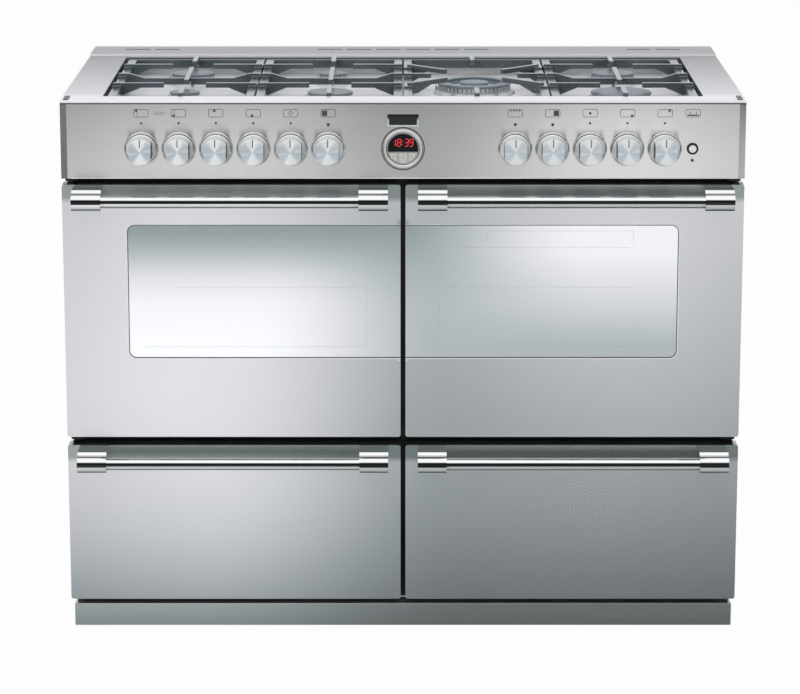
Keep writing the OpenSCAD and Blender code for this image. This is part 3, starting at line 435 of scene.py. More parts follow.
def painted(name, color, rough=0.4, peel=0.15, **sockets):
    """Paint or enamel with a fine orange-peel surface."""
    shade = Shade(name, color, roughness=rough, **sockets)
    clouds = shade.noise(9.0, 3.0, 0.5)
    shade.feed("Base Color", shade.mottled(clouds, color, 0.08))
    shade.feed("Roughness", shade.span(clouds, rough * 0.85, rough * 1.15, 0.3, 0.7))
    shade.bump(shade.noise(900.0, 2.0, 0.5), peel, 0.0002)
    return shade.mat


def cast_iron(name, color):
    """Enamelled casting: a pebbled skin, with painted highlights along its edges and painted shade on
    its sides.
    """
    shade = Shade(name, color, roughness=0.26)
    shade.shader.inputs["Coat Weight"].default_value = 0.6
    shade.shader.inputs["Coat Roughness"].default_value = 0.14
    grains = shade.noise(420.0, 3.0, 0.6)
    lumps = shade.noise(60.0, 2.0, 0.5)
    # Painted highlight along the edges
    edges = shade.span(shade.node("NewGeometry").outputs["Pointiness"], 0.0, 1.0, 0.52, 0.6)
    body = shade.mottled(lumps, color, 0.15)
    # Painted shade: the sides are darker than the tops
    top = shade.ramp(shade.facing(2), ((-1.0, 0.72), (0.4, 0.72), (0.8, 1.0), (1.0, 1.0)))
    shade.feed("Base Color", shade.scaled(shade.blend(edges, body, tone(color, 1.9)), top))
    shade.feed("Roughness", shade.span(grains, 0.2, 0.34, 0.3, 0.7))
    shade.bump(shade.math("ADD", shade.times(grains, 0.5), lumps), 0.15, 0.0005)
    return shade.mat


def knob_metal(name, color):
    """Turned metal: rings round each knob's own axis, which is on the pitch grid, with painted sheen
    and shade.
    """
    shade = Shade(name, color, metallic=0.6, roughness=0.33)
    across = shade.times(from_knob(shade), KNOB_PITCH)
    up = over_knobs(shade)
    radius = shade.reach(across, up)
    rings = shade.node("TexNoise", noise_dimensions="1D")
    rings.inputs["Scale"].default_value = 2600.0
    rings.inputs["Detail"].default_value = 2.0
    shade.link(radius, rings.inputs["W"])
    level = rings.outputs["Fac"]
    turned = shade.mottled(level, color, 0.03)
    # Painted sheen: the face shines in sectors, brightest above and below the axis
    tilt = shade.math("DIVIDE", shade.math("ABSOLUTE", across), shade.larger(radius, 0.5 * MM))
    leaning = shade.times(shade.math("SIGN", shade.times(across, up)), 0.12)
    sector = shade.math("ADD", tilt, shade.times(leaning, tilt))
    sheen = shade.ramp(sector, ((0.0, 1.0), (0.35, 1.0), (0.75, 0.2), (0.95, 0.0), (1.12, 0.5)), "EASE")
    face = shade.blend(sheen, (0.57, 0.65, 0.71), turned)
    # Painted highlight on the rounded edge of the face and on the skirt, and painted shade on the flat
    # flanks
    shoulder_highlight = shade.ramp(shade.facing(1), ((-1.0, 0.0), (-0.97, 0.0), (-0.9, 1.0), (0.0, 1.0)))
    skirt = shade.math("GREATER_THAN", shade.math("ABSOLUTE", across), KNOB_FLAT_X)
    flank_shade = shade.ramp(shade.aside(), ((0.97, 0.0), (0.99, 1.0)))
    bright = shade.times(shade.larger(shoulder_highlight, skirt), shade.inverse(flank_shade))
    body = shade.blend(bright, face, (0.97, 0.99, 1.0))
    shade.feed("Base Color", shade.blend(flank_shade, body, (0.12, 0.14, 0.15)))
    shade.feed("Metallic", shade.span(bright, 0.5, 0.2))
    shade.feed("Roughness", shade.span(level, 0.29, 0.37, 0.3, 0.7))
    around = shade.node("CombineXYZ")
    shade.link(shade.times(up, -1.0), around.inputs[0])
    shade.link(across, around.inputs[2])
    shade.brush(around.outputs[0], 0.93)
    return shade.mat


def mirror_glass(name, color):
    """Coated door glass: mostly a mirror, with the oven faintly behind it."""
    shade = Shade(name, color, metallic=0.9, roughness=0.03, alpha=0.9)
    shade.feed("Roughness", shade.span(shade.noise(7.0, 2.0, 0.5), 0.02, 0.05, 0.3, 0.7))
    return shade.mat


def glow(name, color, strength):
    """Lit figures on the display."""
    shade = Shade(name, color, roughness=0.5)
    shade.shader.inputs["Emission Color"].default_value = (*color, 1)
    shade.shader.inputs["Emission Strength"].default_value = strength
    clouds = shade.noise(400.0, 1.0, 0.5)
    shade.feed("Base Color", shade.blend(clouds, tone(color, 0.9), color))
    return shade.mat


# Painted reflections: brightness over the width of the sheets, and over the height of the fascia
DOOR_REFLECTION = (
    (-0.55, 0.86), (-0.45, 0.95), (-0.33, 1.0), (-0.03, 0.88),
    (0.03, 0.88), (0.33, 1.0), (0.46, 0.95), (0.55, 0.88))
DRAWER_REFLECTION = (
    (-0.55, 0.84), (-0.45, 0.94), (-0.33, 1.0), (-0.03, 1.05),
    (0.03, 1.05), (0.33, 1.0), (0.46, 0.95), (0.55, 0.9))
FASCIA_REFLECTION = (
    (-0.55, 0.7), (-0.45, 0.85), (-0.2, 0.95), (-0.05, 0.72), (0.08, 0.72),
    (0.2, 0.86), (0.33, 1.0), (0.45, 0.95), (0.55, 0.85))
FASCIA_HEIGHT_REFLECTION = (
    (FASCIA_LOW, 1.0), (FASCIA_LOW + 40 * MM, 0.98),
    (FASCIA_TOP - 20 * MM, 0.82), (FASCIA_TOP, 0.75))
PLINTH_REFLECTION = ((-0.55, 0.96), (-0.2, 0.96), (0.1, 0.92), (0.55, 0.9))
DOOR_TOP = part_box("door_panel_left")[1].z
DRAWER_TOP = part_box("drawer_front_left")[1].z

MATERIALS = {
    "front": brushed("front_steel", (0.93, 0.93, 0.95), reflection_sway=DOOR_REFLECTION, handle_shade_top=DOOR_TOP),
    "drawer": brushed("drawer_steel", (0.93, 0.93, 0.95), reflection_sway=DRAWER_REFLECTION, handle_shade_top=DRAWER_TOP),
    "fascia": brushed("fascia_steel", (0.99, 0.97, 0.95), reflection_sway=FASCIA_REFLECTION, rise=FASCIA_HEIGHT_REFLECTION,
                      knobs=True),
    "plinth": brushed("plinth_steel", (0.97, 0.98, 0.97), reflection_sway=PLINTH_REFLECTION),
    "alloy": brushed("burner_alloy", (0.66, 0.68, 0.70), 0.38),
    "module": brushed("clock_plate", (0.62, 0.61, 0.60), 0.34),
    "hob": hob_steel("hob_steel", (0.93, 0.93, 0.95)),
    "trim": trim_steel("trim_steel", (0.31, 0.32, 0.345)),
    "bar": bar_chrome("bar_chrome", (0.93, 0.94, 0.95)),
    "bezel": bezel_chrome("bezel_chrome", (0.93, 0.94, 0.95)),
    "wire": chrome("wire_chrome", (0.7, 0.71, 0.72), 0.15),
    "knob": knob_metal("knob_metal", (0.96, 0.98, 1.0)),
    "iron": cast_iron("cast_iron_enamel", (0.088, 0.112, 0.13)),
    "cap": painted("cap_enamel", (0.13, 0.17, 0.20), 0.32, 0.1),
    "brass": painted("gas_brass", (0.72, 0.52, 0.24), 0.3, 0.1, metallic=1.0),
    "black": painted("black_paint", (0.012, 0.012, 0.013), 0.45),
    "grey": painted("carcass_paint", (0.36, 0.37, 0.38), 0.42),
    "zinc": painted("zinc_sheet", (0.50, 0.52, 0.53), 0.42, 0.1, metallic=0.9),
    "enamel": painted("oven_enamel", (0.018, 0.02, 0.022), 0.22, 0.1),
    "cap_end": end_cap_paint("end_cap_paint", (0.165, 0.18, 0.165)),
    "rubber": painted("rubber", (0.03, 0.03, 0.03), 0.7),
    "button": painted("button_plastic", (0.60, 0.59, 0.56), 0.3, 0.05),
    "spark": painted("spark_button_plastic", (0.92, 0.92, 0.93), 0.25, 0.05),
    "glass": mirror_glass("door_glass", (0.835, 0.86, 0.875)),
    "screen": lens_plastic("screen_glass", (0.006, 0.009, 0.010), (0.15, 0.095, 0.095)),
    "digits": glow("clock_digits", (0.66, 0.03, 0.035), 1.0),
    "ink": painted("printed_ink", (0.07, 0.068, 0.066), 0.5, 0.05),
    "faint": painted("faint_ink", (0.36, 0.36, 0.34), 0.5, 0.05),
    "line": painted("edge_shadow", (0.05, 0.052, 0.055), 0.5, 0.05),
    "edge_glints": painted("pane_edge_glints", (0.72, 0.76, 0.77), 0.4, 0.02, alpha=0.35),
    "glint": painted("edge_glint", (0.96, 0.96, 0.95), 0.4, 0.02),
    "plate": painted("plate_black", (0.006, 0.006, 0.007), 0.25, 0.05),
}

DRESS = {
    "side_panels": "grey", "back_panel": "zinc", "base_tray": "zinc", "front_frame": "black",
    "oven_left": "enamel", "oven_right": "enamel", "oven_racks": "wire", "grill_element": "enamel",
    "fan_housing": "enamel", "oven_fan": "alloy", "door_seals": "rubber", "hob_top": "hob",
    "vent_trim": "trim", "burner_bases": "alloy", "burner_crowns": "alloy", "burner_caps": "cap",
    "gas_rail": "brass", "gas_taps": "brass", "fascia": "fascia", "fascia_end_caps": "cap_end",
    "control_bezels": "bezel", "clock_module": "module", "lenses": "screen", "plinth": "plinth",
    "levelling_feet": "rubber", "drawer_runners": "zinc", "door_pivots": "black",
    "ignition_button": "spark",
}
FAMILIES = (
    ("pan_support", "iron"), ("door_panel", "front"), ("drawer_front", "drawer"),
    ("door_glass", "glass"), ("door_pan", "enamel"), ("door_handle", "bar"),
    ("drawer_handle", "bar"), ("drawer_box", "zinc"), ("knob", "knob"), ("clock_button", "button"),
)


def finish_of(node):
    """The material that a node wears."""
    if node in DRESS:
        return MATERIALS[DRESS[node]]
    return next(MATERIALS[look] for family, look in FAMILIES if node.startswith(family))


def soften(obj, width, limit=35):
    """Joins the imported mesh's split corners, and rounds its edges a little."""
    weld = obj.modifiers.new("weld", "WELD")
    weld.merge_threshold = 0.00002
    bevel = obj.modifiers.new("bevel", "BEVEL")
    bevel.width = width
    bevel.segments = 2
    bevel.limit_method = "ANGLE"
    bevel.angle_limit = math.radians(limit)
    bevel.harden_normals = True


EDGES = {
    "pan_support": 1.2 * MM, "door_panel": 0.5 * MM, "drawer_front": 0.5 * MM,
    "hob_top": 0.6 * MM, "vent_trim": 0.6 * MM, "plinth": 0.5 * MM,
}
for name, obj in nodes.items():
    obj.data.materials.clear()
    obj.data.materials.append(finish_of(name))
    for family, width in EDGES.items():
        if name.startswith(family):
            soften(obj, width)


# Thin printed marks, inlays and lit figures: flat shapes in upright planes, with a little depth in y

def loop_bar(x, z, w, h):
    left, right = x - w / 2, x + w / 2
    low, high = z - h / 2, z + h / 2
    return [(left, low), (right, low), (right, high), (left, high)]


def loop_round(x, z, w, h, r, steps=6):
    """The outline of a rectangle with round corners, or of a disc where r is half of both sides."""
    points = []
    for quarter, (sx, sz) in enumerate(((1, 1), (-1, 1), (-1, -1), (1, -1))):
        for step in range(steps + 1):
            angle = math.pi / 2 * (quarter + step / steps)
            across = sx * (w / 2 - r) + r * math.cos(angle)
            up = sz * (h / 2 - r) + r * math.sin(angle)
            points.append((x + across, z + up))
    return points


# Each of these makes a shape: an outline, and the outline of its hole or None

def disc(x, z, d):
    return loop_round(x, z, d, d, d / 2), None


def bar(x, z, w, h):
    return loop_bar(x, z, w, h), None


def triangle(*corners):
    return list(corners), None


def ring(x, z, w, h, r, line):
    hole = loop_round(x, z, w - 2 * line, h - 2 * line, max(r - line, 0.2 * MM))
    return loop_round(x, z, w, h, r), hole


def inlay(name, shapes, front, back, look, body):
    """Flat shapes in the XZ plane, from the depth front to the depth back."""
    work = bmesh.new()
    for outer, inner in shapes:
        rows = []
        for loop in (outer, inner):
            if loop:
                rows.append([[work.verts.new((x, y, z)) for x, z in loop] for y in (front, back)])
        count = len(outer)
        for i in range(count):
            j = (i + 1) % count
            for face, rear in rows:
                work.faces.new((face[i], face[j], rear[j], rear[i]))
            if inner:
                for layer in (0, 1):
                    rim, hole = rows[0][layer], rows[1][layer]
                    work.faces.new((rim[i], rim[j], hole[j], hole[i]))
        if not inner:
            for row in rows[0]:
                work.faces.new(row)
    bmesh.ops.recalc_face_normals(work, faces=work.faces)
    mesh = bpy.data.meshes.new(name)
    work.to_mesh(mesh)
    work.free()
    mesh.materials.append(MATERIALS[look])
    piece = bpy.data.objects.new(name, mesh)
    bpy.context.scene.collection.objects.link(piece)
    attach(piece, body)
    return piece


def skin(name, shapes, face, proud, look, body):
    """Thin shapes on a face."""
    return inlay(name, shapes, face - proud, face + 0.05 * MM, look, body)


# Knobs and neon lenses, in pitches from the middle
KNOB_PLACES = (-7, -6, -5, -4, -3, -2, 3, 4, 5, 6, 7)
NEON_PLACES = (-2, 3, 4)

# The outlines over the knobs, and the width of a printed line
SIGN_Z = FASCIA_TOP - 14.5 * MM
SIGN_W = 24 * MM
SIGN_H = 13 * MM
SIGN_R = 2.6 * MM
INK = 0.8 * MM
DOT_Z = FASCIA_TOP - 30.7 * MM
NEON_Z = FASCIA_TOP - 33 * MM
SPARK_NEON_Z = KNOB_Z - 19 * MM

# What each outline holds: kinds of mark, with places in mm from the outline's middle
SIGN_MARKS = {
    -7: (("line", -6.3, 0), ("dot", -7.6, 3.9)), -6: (("line", -6.3, 0), ("dot", -7.8, -3.8)),
    -5: (("dot", -2.4, 3.9),), -4: (("dot", -2.2, -3.8),), -3: (("ring", 0, 0),),
    -2: (("block", -5.6, 0),), 3: (("teeth", 0, 5),), 4: (("block", 5.6, 0),), 5: (("dot", 0, 0),),
    6: (("dot", 7.2, -3.9),), 7: (("dot", 7.2, 3.9),),
}


def sign_mark(kind, x, z):
    """The shapes of one mark, on the point x, z."""
    if kind == "line":
        return [bar(x, z, 0.6 * MM, 11.4 * MM)]
    if kind == "dot":
        return [disc(x, z, 4.2 * MM)]
    if kind == "ring":
        return [ring(x, z, 6.4 * MM, 6.4 * MM, 3.2 * MM, INK)]
    if kind == "block":
        return [bar(x, z, 8.6 * MM, 9 * MM)]
    teeth = []
    for i in range(4):
        left = x + (i * 4.6 - 8.9) * MM
        tip = (left + 2 * MM, z - 3 * MM)
        teeth.append(triangle((left, z), tip, (left + 4 * MM, z)))
    return teeth


def add_fascia_print():
    """Outlines that show which burner or oven each knob works, and a dot over each knob."""
    shapes = []
    for place, marks in SIGN_MARKS.items():
        x = place * KNOB_PITCH
        shapes.append(ring(x, SIGN_Z, SIGN_W, SIGN_H, SIGN_R, INK))
        for kind, across, up in marks:
            shapes.extend(sign_mark(kind, x + across * MM, SIGN_Z + up * MM))
        if place not in NEON_PLACES:
            shapes.append(disc(x, DOT_Z, 3.8 * MM))
    # The lighter's sign: two flames over a bar
    shapes.append(ring(SPARK_X, SIGN_Z, SIGN_W, SIGN_H, SIGN_R, INK))
    shapes.append(bar(SPARK_X, SIGN_Z - 3.2 * MM, 18.6 * MM, 2.2 * MM))
    foot = SIGN_Z - 1 * MM
    for side in (-1, 1):
        x = SPARK_X + side * 5 * MM
        shapes.append(triangle((x - 1 * MM, foot), (x + 1 * MM, foot), (x, SIGN_Z + 4 * MM)))
    skin("fascia_print", shapes, FACE_Y, 0.08 * MM, "ink", "carcass")


def add_fascia_bars():
    """Two grey bars between the first two outlines."""
    x = -6.5 * KNOB_PITCH
    shapes = [bar(x, SIGN_Z + side * 1.6 * MM, 16 * MM, 2.0 * MM) for side in (-1, 1)]
    skin("fascia_bars", shapes, FACE_Y, 0.08 * MM, "faint", "carcass")


def add_neon_eyes():
    """A dark spot in each neon lens."""
    eyes = [disc(place * KNOB_PITCH, NEON_Z, 2.4 * MM) for place in NEON_PLACES]
    eyes.append(disc(SPARK_X, SPARK_NEON_Z, 2.4 * MM))
    skin("neon_eyes", eyes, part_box("lenses")[0].y, 0.08 * MM, "plate", "carcass")


def add_knob_lines():
    """Paint in the groove of each knob."""
    for i, place in enumerate(KNOB_PLACES, 1):
        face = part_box("knob_%d" % i)[0].y
        line = bar(place * KNOB_PITCH, KNOB_Z + 14.35 * MM, 1.5 * MM, 12.7 * MM)
        inlay("knob_line_%d" % i, [line], face + 0.12 * MM, face + 0.62 * MM, "ink", "control_%d" % i)


# The display's figures: seven segments each, with places in mm from the clock's axis
FIGURES = (("1", -14.8), ("8", -6.2), ("3", 5.8), ("9", 13.4))
SEGMENTS = {"1": "bc", "8": "abcdefg", "3": "abcdg", "9": "abcdfg"}
FIGURE_W = 5.3 * MM
FIGURE_H = 11.4 * MM
SEGMENT_W = 1.2 * MM
SLANT = 0.12
FIGURE_Z = KNOB_Z + 10 * MM


def lean(points, x):
    """Points round a figure's middle, slanted and moved into the display."""
    return [(x + px + SLANT * pz, FIGURE_Z + pz) for px, pz in points]


def add_clock_figures():
    """Lit figures on the display, with two points between the hours and the minutes."""
    side, top = FIGURE_W / 2, FIGURE_H / 2
    # Each segment's middle, and whether it lies level
    spots = {
        "a": (0, top, True), "g": (0, 0, True), "d": (0, -top, True), "b": (side, top / 2, False),
        "c": (side, -top / 2, False), "f": (-side, top / 2, False), "e": (-side, -top / 2, False),
    }
    tip = SEGMENT_W / 2
    shapes = []
    for figure, x in FIGURES:
        for name in SEGMENTS[figure]:
            px, pz, level = spots[name]
            length = (side if level else top / 2) - 0.25 * MM
            run = ((-length, 0), (-length + tip, tip), (length - tip, tip), (length, 0),
                   (length - tip, -tip), (-length + tip, -tip))
            points = [(px + a, pz + b) if level else (px + b, pz + a) for a, b in run]
            shapes.append((lean(points, x * MM), None))
    for dz in (-2.6, 2.6):
        dot = [(a, b + dz * MM) for a, b in loop_bar(0, 0, 1.3 * MM, 1.3 * MM)]
        shapes.append((lean(dot, -0.4 * MM), None))
    skin("clock_figures", shapes, SCREEN_Y, 0.05 * MM, "digits", "carcass")


def add_key_signs():
    """A minus, a ring and a plus on the three keys."""
    z = KNOB_Z - 12.6 * MM
    x = 14 * MM
    minus = [bar(-x, z, 4 * MM, INK)]
    circle = [ring(0, z, 4.2 * MM, 4.2 * MM, 2.1 * MM, 0.7 * MM)]
    plus = [bar(x, z, 4 * MM, INK), bar(x, z + 1.2 * MM, INK, 1.59 * MM),
            bar(x, z - 1.2 * MM, INK, 1.59 * MM)]
    for i, shapes in enumerate((minus, circle, plus), 1):
        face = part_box("clock_button_%d" % i)[0].y
        skin("key_sign_%d" % i, shapes, face, 0.05 * MM, "faint", "clock_key_%d" % i)


def add_plate_face():
    """The dark face of the bare plate above the clock, inside its bright rim."""
    z = FASCIA_TOP - 26.2 * MM
    shape = (loop_round(0, z, 44.8 * MM, 14.2 * MM, 1.2 * MM), None)
    inlay("plate_face", [shape], FACE_Y - 1.75 * MM, FACE_Y - 1.38 * MM, "plate", "carcass")


def path_strip(points, width):
    """Flat quads of one width along an open path of (x, z) points, on its left hand side."""
    quads = []
    sides = []
    for i, (x, z) in enumerate(points):
        before = points[max(i - 1, 0)]
        after = points[min(i + 1, len(points) - 1)]
        run, rise = after[0] - before[0], after[1] - before[1]
        length = math.hypot(run, rise)
        sides.append((x - rise / length * width, z + run / length * width))
    for i in range(len(points) - 1):
        quads.append(([points[i], points[i + 1], sides[i + 1], sides[i]], None))
    return quads


# The window in a door's skin: where it begins beside the gap between the doors, its far side, its lower
# and upper edges, and the radius of its far corners
WINDOW_START = 4.5 * MM
WINDOW_SIDE = 446 * MM
WINDOW_LOW = 476 * MM
WINDOW_TOP = 697 * MM
WINDOW_R = 12 * MM


def window_path(side, inset):
    """The edge of a door window, from the meeting edge round the hinge side and back."""
    r = WINDOW_R - inset
    x1, z0, z1 = WINDOW_SIDE - inset, WINDOW_LOW + inset, WINDOW_TOP - inset
    points = [(WINDOW_START, z1)]
    for step in range(7):
        angle = math.pi / 2 * (1 - step / 6)
        points.append((x1 - r + r * math.cos(angle), z1 - r + r * math.sin(angle)))
    for step in range(7):
        angle = -math.pi / 2 * step / 6
        points.append((x1 - r + r * math.cos(angle), z0 + r + r * math.sin(angle)))
    points.append((WINDOW_START, z0))
    return [(side * x, z) for x, z in points]


def add_window_lines():
    """A painted shadow line inside the edge of each window, and a painted highlight outside it."""
    for side, word in ((-1, "left"), (1, "right")):
        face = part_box("door_panel_%s" % word)[0].y
        body = "door_%s" % word
        width = side * -1.1 * MM
        inner = path_strip(window_path(side, 0.1 * MM), width)
        outer = path_strip(window_path(side, -1.4 * MM), width)
        inlay("window_shadow_line_%s" % word, inner, face + 0.9 * MM, face + 1.4 * MM, "line", body)
        skin("window_glint_%s" % word, outer, face, 0.06 * MM, "glint", body)


# Lines seen in the window glass, in mm from the gap between the doors and from the ground. A level one
# has its two ends and its height, an upright one its place and the heights of its two ends
PANE_LEVELS = ((60, 372, 594), (60, 366, 660), (136, 374, 687), (60, 430, 494.5))
PANE_UPRIGHTS = ((59.5, 495, 694), (136, 668, 686), (373, 668, 686))
PANE_LINE = 0.7 * MM


def add_pane_lines():
    """Painted highlights: faint pale lines on the window glass for the lit edges of the oven opening,
    its shelf and its roof behind it.
    """
    for side, word in ((-1, "left"), (1, "right")):
        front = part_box("door_glass_%s" % word)[0].y
        lines = []
        for x0, x1, z in PANE_LEVELS:
            lines.append(bar(side * (x0 + x1) / 2 * MM, z * MM, (x1 - x0) * MM, PANE_LINE))
        for x, z0, z1 in PANE_UPRIGHTS:
            lines.append(bar(side * x * MM, (z0 + z1) / 2 * MM, PANE_LINE, (z1 - z0) * MM))
        inlay("pane_lines_%s" % word, lines, front - 0.05 * MM, front + 0.04 * MM, "edge_glints",
              "door_%s" % word)


def add_fascia_fold():
    """A painted highlight: the bright line where the fascia folds under."""
    low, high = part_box("fascia")
    fold_highlight = bar((low.x + high.x) / 2, FASCIA_LOW + 1.0 * MM, high.x - low.x - 12 * MM, 1.5 * MM)
    skin("fascia_fold", [fold_highlight], FACE_Y, 0.06 * MM, "glint", "carcass")


def add_back_screws():
    """Cross-slotted screw heads round the edge of the back sheet."""
    low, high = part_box("back_panel")
    edge = 12 * MM
    columns = 6
    middle = (low.z + high.z) / 2
    heads = []
    slots = []
    for i in range(columns):
        x = low.x + edge + (high.x - low.x - 2 * edge) * i / (columns - 1)
        rows = [low.z + edge, high.z - 30 * MM]
        if i in (0, columns - 1):
            rows.append(middle)
        for z in rows:
            heads.append(disc(x, z, 8 * MM))
            slots.append(bar(x, z, 6.4 * MM, 1 * MM))
            slots.append(bar(x, z + 2.1 * MM, 1 * MM, 2.2 * MM))
            slots.append(bar(x, z - 2.1 * MM, 1 * MM, 2.2 * MM))
    inlay("back_screws", heads, BACK_Y - 0.1 * MM, BACK_Y + 1.6 * MM, "zinc", "carcass")
    # The slots are dark inlays on the flat heads: painted shade
    inlay("back_screw_slots", slots, BACK_Y + 1.4 * MM, BACK_Y + 1.65 * MM, "line", "carcass")


def add_vent_shade():
    """A black sheet under the slots of the vent trim: painted shade, so the slots look dark inside."""
    low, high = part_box("vent_trim")
    sheet = bar((low.x + high.x) / 2, low.z + 2.5 * MM, high.x - low.x - 6 * MM, 1 * MM)
    inlay("vent_shade", [sheet], low.y + 2 * MM, high.y - 2 * MM, "black", "carcass")


add_fascia_print()
add_fascia_bars()
add_neon_eyes()
add_knob_lines()
add_clock_figures()
add_key_signs()
add_plate_face()
add_window_lines()
add_pane_lines()
add_fascia_fold()
add_back_screws()
add_vent_shade()


# Camera: the photograph's place and lens, with the axis pitched down. Lens and shifts are in pixels
CAMERA_GAP = 4.95
CAMERA_Z = 1.675
CAMERA_PITCH = math.radians(12.68)
LENS_PX = 3123.0
SHIFT_X_PX = -3.0
SHIFT_Y_PX = -40.0
PICTURE_W = 800
SENSOR_W = 36.0


def add_camera():
    data = bpy.data.cameras.new("camera")
    data.sensor_width = SENSOR_W
    data.lens = LENS_PX / PICTURE_W * SENSOR_W
    data.shift_y = SHIFT_Y_PX / PICTURE_W
    data.shift_x = SHIFT_X_PX / PICTURE_W
    camera = bpy.data.objects.new("camera", data)
    camera.location = (0, FACE_Y - CAMERA_GAP, CAMERA_Z)
    camera.rotation_euler = (math.pi / 2 - CAMERA_PITCH, 0, 0)
    bpy.context.scene.collection.objects.link(camera)
    bpy.context.scene.camera = camera


# The floor's level in reflections, over the distance in front of the cooker
FLOOR_REACH = (
    (-1.0, 0.5), (-0.2, 0.4), (0.0, 0.08), (0.27, 0.12), (0.7, 0.21), (1.0, 0.28), (1.4, 0.4),
    (2.0, 0.54), (2.5, 0.54), (3.0, 0.45), (3.5, 0.36), (4.5, 0.46), (7.0, 0.55), (12.0, 0.5))
# Two pools of light on it: middle and half width in x, and the level over the distance
LEFT_POOL = (-0.62, 0.72, (
    (0.0, 0.08), (0.27, 0.25), (0.7, 0.52), (1.3, 0.74), (2.0, 0.68), (2.55, 0.58),
    (2.84, 0.43), (3.16, 0.13), (3.4, 0.0), (4.2, 0.1), (6.0, 0.25), (12.0, 0.2)))
RIGHT_POOL = (0.80, 0.82, (
    (0.0, 0.0), (2.1, 0.0), (2.55, 0.27), (2.84, 0.46), (3.16, 0.66), (3.8, 0.8),
    (6.0, 0.75), (12.0, 0.4)))
FLOOR_HALF = 14.0


def add_floor():
    """A pale floor: white to the camera, and graded from the cooker outwards in reflections."""
    mesh = bpy.data.meshes.new("floor")
    corners = [(x, y, 0) for x, y in loop_bar(0, 0, 2 * FLOOR_HALF, 2 * FLOOR_HALF)]
    mesh.from_pydata(corners, [], [(0, 1, 2, 3)])
    floor = bpy.data.objects.new("floor", mesh)
    bpy.context.scene.collection.objects.link(floor)
    shade = Shade("floor_paint", (0.86, 0.86, 0.86), roughness=0.9)
    shade.shader.inputs["Specular IOR Level"].default_value = 0.0
    tree = shade.tree
    output = tree.nodes["Material Output"]
    path = shade.node("LightPath")
    white = shade.node("Emission")
    white.inputs["Strength"].default_value = 1.0
    camera_mix = shade.node("MixShader")
    camera_mix.inputs[0].default_value = 0.97
    shade.link(shade.shader.outputs[0], camera_mix.inputs[1])
    shade.link(white.outputs[0], camera_mix.inputs[2])

    x, y = shade.place(0), shade.place(1)
    reach = shade.math("SUBTRACT", FACE_Y, y)
    base = shade.ramp(reach, FLOOR_REACH)
    pools = []
    for middle, width, stops in (LEFT_POOL, RIGHT_POOL):
        near = shade.math("ABSOLUTE", shade.math("SUBTRACT", x, middle))
        within = shade.ramp(near, ((0.0, 1.0), (width * 0.35, 1.0), (width, 0.0)), "EASE")
        pools.append(shade.times(within, shade.ramp(reach, stops)))
    level = shade.math("ADD", base, shade.math("ADD", *pools))
    aside = shade.ramp(shade.math("ABSOLUTE", x), ((0.0, 1.0), (2.2, 1.0), (3.2, 0.25), (6.0, 0.15)))
    level = shade.times(level, aside)
    cool = shade.span(level, 0.0, 1.0, 0.25, 0.85)
    graded = shade.scaled(shade.blend(cool, (0.84, 1.0, 1.02), (1.0, 0.985, 1.01)), level)
    sheen = shade.node("Emission")
    sheen.inputs["Strength"].default_value = 1.1
    shade.link(graded, sheen.inputs["Color"])
    glossy_mix = shade.node("MixShader")
    shade.link(path.outputs["Is Glossy Ray"], glossy_mix.inputs[0])
    shade.link(shade.shader.outputs[0], glossy_mix.inputs[1])
    shade.link(sheen.outputs[0], glossy_mix.inputs[2])
    final = shade.node("MixShader")
    shade.link(path.outputs["Is Camera Ray"], final.inputs[0])
    shade.link(glossy_mix.outputs[0], final.inputs[1])
    shade.link(camera_mix.outputs[0], final.inputs[2])
    shade.link(final.outputs[0], output.inputs["Surface"])
    mesh.materials.append(shade.mat)


# The room's level in reflections in front of the cooker, from the horizon to straight up
ROOM_LEVELS = ((0.0, 0.5), (0.04, 0.45), (0.09, 0.26), (0.4, 0.3), (0.55, 0.95), (1.0, 1.05))


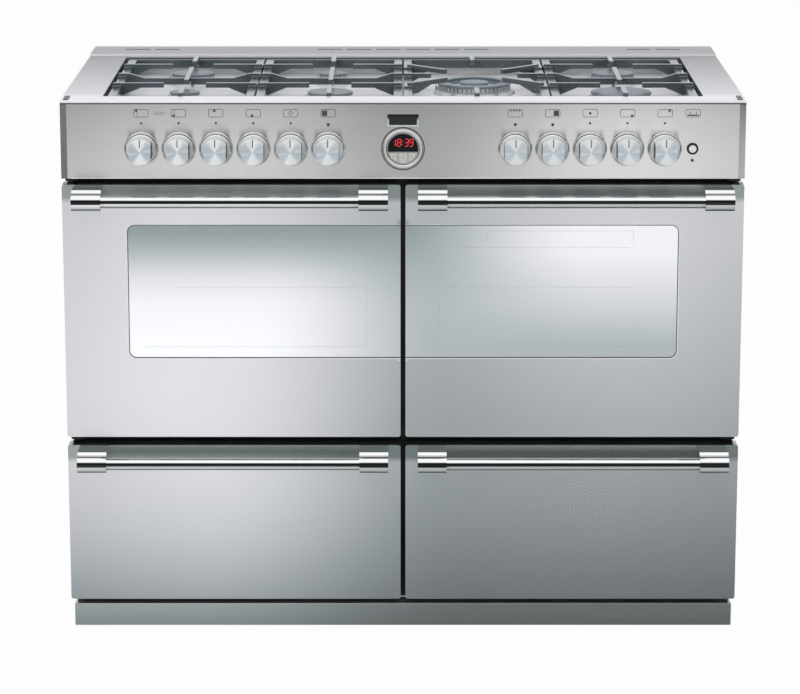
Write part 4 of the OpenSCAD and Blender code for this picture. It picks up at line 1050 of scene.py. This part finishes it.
def add_world():
    """White to the camera. In reflections: a room with a bright ceiling, and a pale wall behind."""
    world = bpy.data.worlds.new("studio")
    bpy.context.scene.world = world
    world.use_nodes = True
    tree = world.node_tree
    tree.nodes.clear()

    def node(kind, **settings):
        made = tree.nodes.new("ShaderNode" + kind)
        for key, value in settings.items():
            setattr(made, key, value)
        return made

    def background(level):
        made = node("Background")
        made.inputs["Strength"].default_value = level
        return made

    path = node("LightPath")
    place = node("TexCoord")
    parts = node("SeparateXYZ")
    tree.links.new(place.outputs["Generated"], parts.inputs[0])
    height = node("ValToRGB")
    elements = height.color_ramp.elements
    while len(elements) < len(ROOM_LEVELS):
        elements.new(0.5)
    for element, (at, level) in zip(elements, ROOM_LEVELS):
        element.position = at
        element.color = (level, level, level, 1)
    tree.links.new(parts.outputs[2], height.inputs[0])
    front = node("MapRange", interpolation_type="SMOOTHSTEP")
    front.inputs["From Min"].default_value = -0.4
    front.inputs["From Max"].default_value = 0.1
    tree.links.new(parts.outputs[1], front.inputs["Value"])
    mixed = node("Mix", data_type="RGBA")
    tree.links.new(front.outputs["Result"], mixed.inputs[0])
    tree.links.new(height.outputs[0], mixed.inputs[6])
    mixed.inputs[7].default_value = (0.92, 0.93, 0.95, 1)
    seen = background(1.0)
    mirrored = background(1.0)
    tree.links.new(mixed.outputs[2], mirrored.inputs["Color"])
    lighting = background(0.62)
    glossy = node("MixShader")
    tree.links.new(path.outputs["Is Glossy Ray"], glossy.inputs[0])
    tree.links.new(lighting.outputs[0], glossy.inputs[1])
    tree.links.new(mirrored.outputs[0], glossy.inputs[2])
    through = node("Math", operation="MAXIMUM")
    tree.links.new(path.outputs["Is Camera Ray"], through.inputs[0])
    tree.links.new(path.outputs["Is Transmission Ray"], through.inputs[1])
    final = node("MixShader")
    tree.links.new(through.outputs[0], final.inputs[0])
    tree.links.new(glossy.outputs[0], final.inputs[1])
    tree.links.new(seen.outputs[0], final.inputs[2])
    output = node("OutputWorld")
    tree.links.new(final.outputs[0], output.inputs["Surface"])


def add_lamp(name, place, aim, size, power):
    data = bpy.data.lights.new(name, "AREA")
    data.shape = "RECTANGLE"
    data.size = size[0]
    data.size_y = size[1]
    data.energy = power
    lamp = bpy.data.objects.new(name, data)
    lamp.visible_glossy = False
    lamp.location = place
    direction = Vector(aim) - Vector(place)
    lamp.rotation_euler = direction.to_track_quat("-Z", "Y").to_euler()
    bpy.context.scene.collection.objects.link(lamp)


add_camera()
add_floor()
add_world()
add_lamp("key_lamp", (-2.2, -2.6, 3.0), (0, 0, 0.5), (2.0, 2.0), 55)
add_lamp("fill_lamp", (2.6, -2.2, 2.2), (0, 0, 0.5), (1.6, 1.6), 18)
add_lamp("back_lamp", (0.3, 2.6, 2.6), (0, 0, 0.8), (2.4, 1.2), 25)
bpy.context.scene.view_settings.view_transform = "Standard"
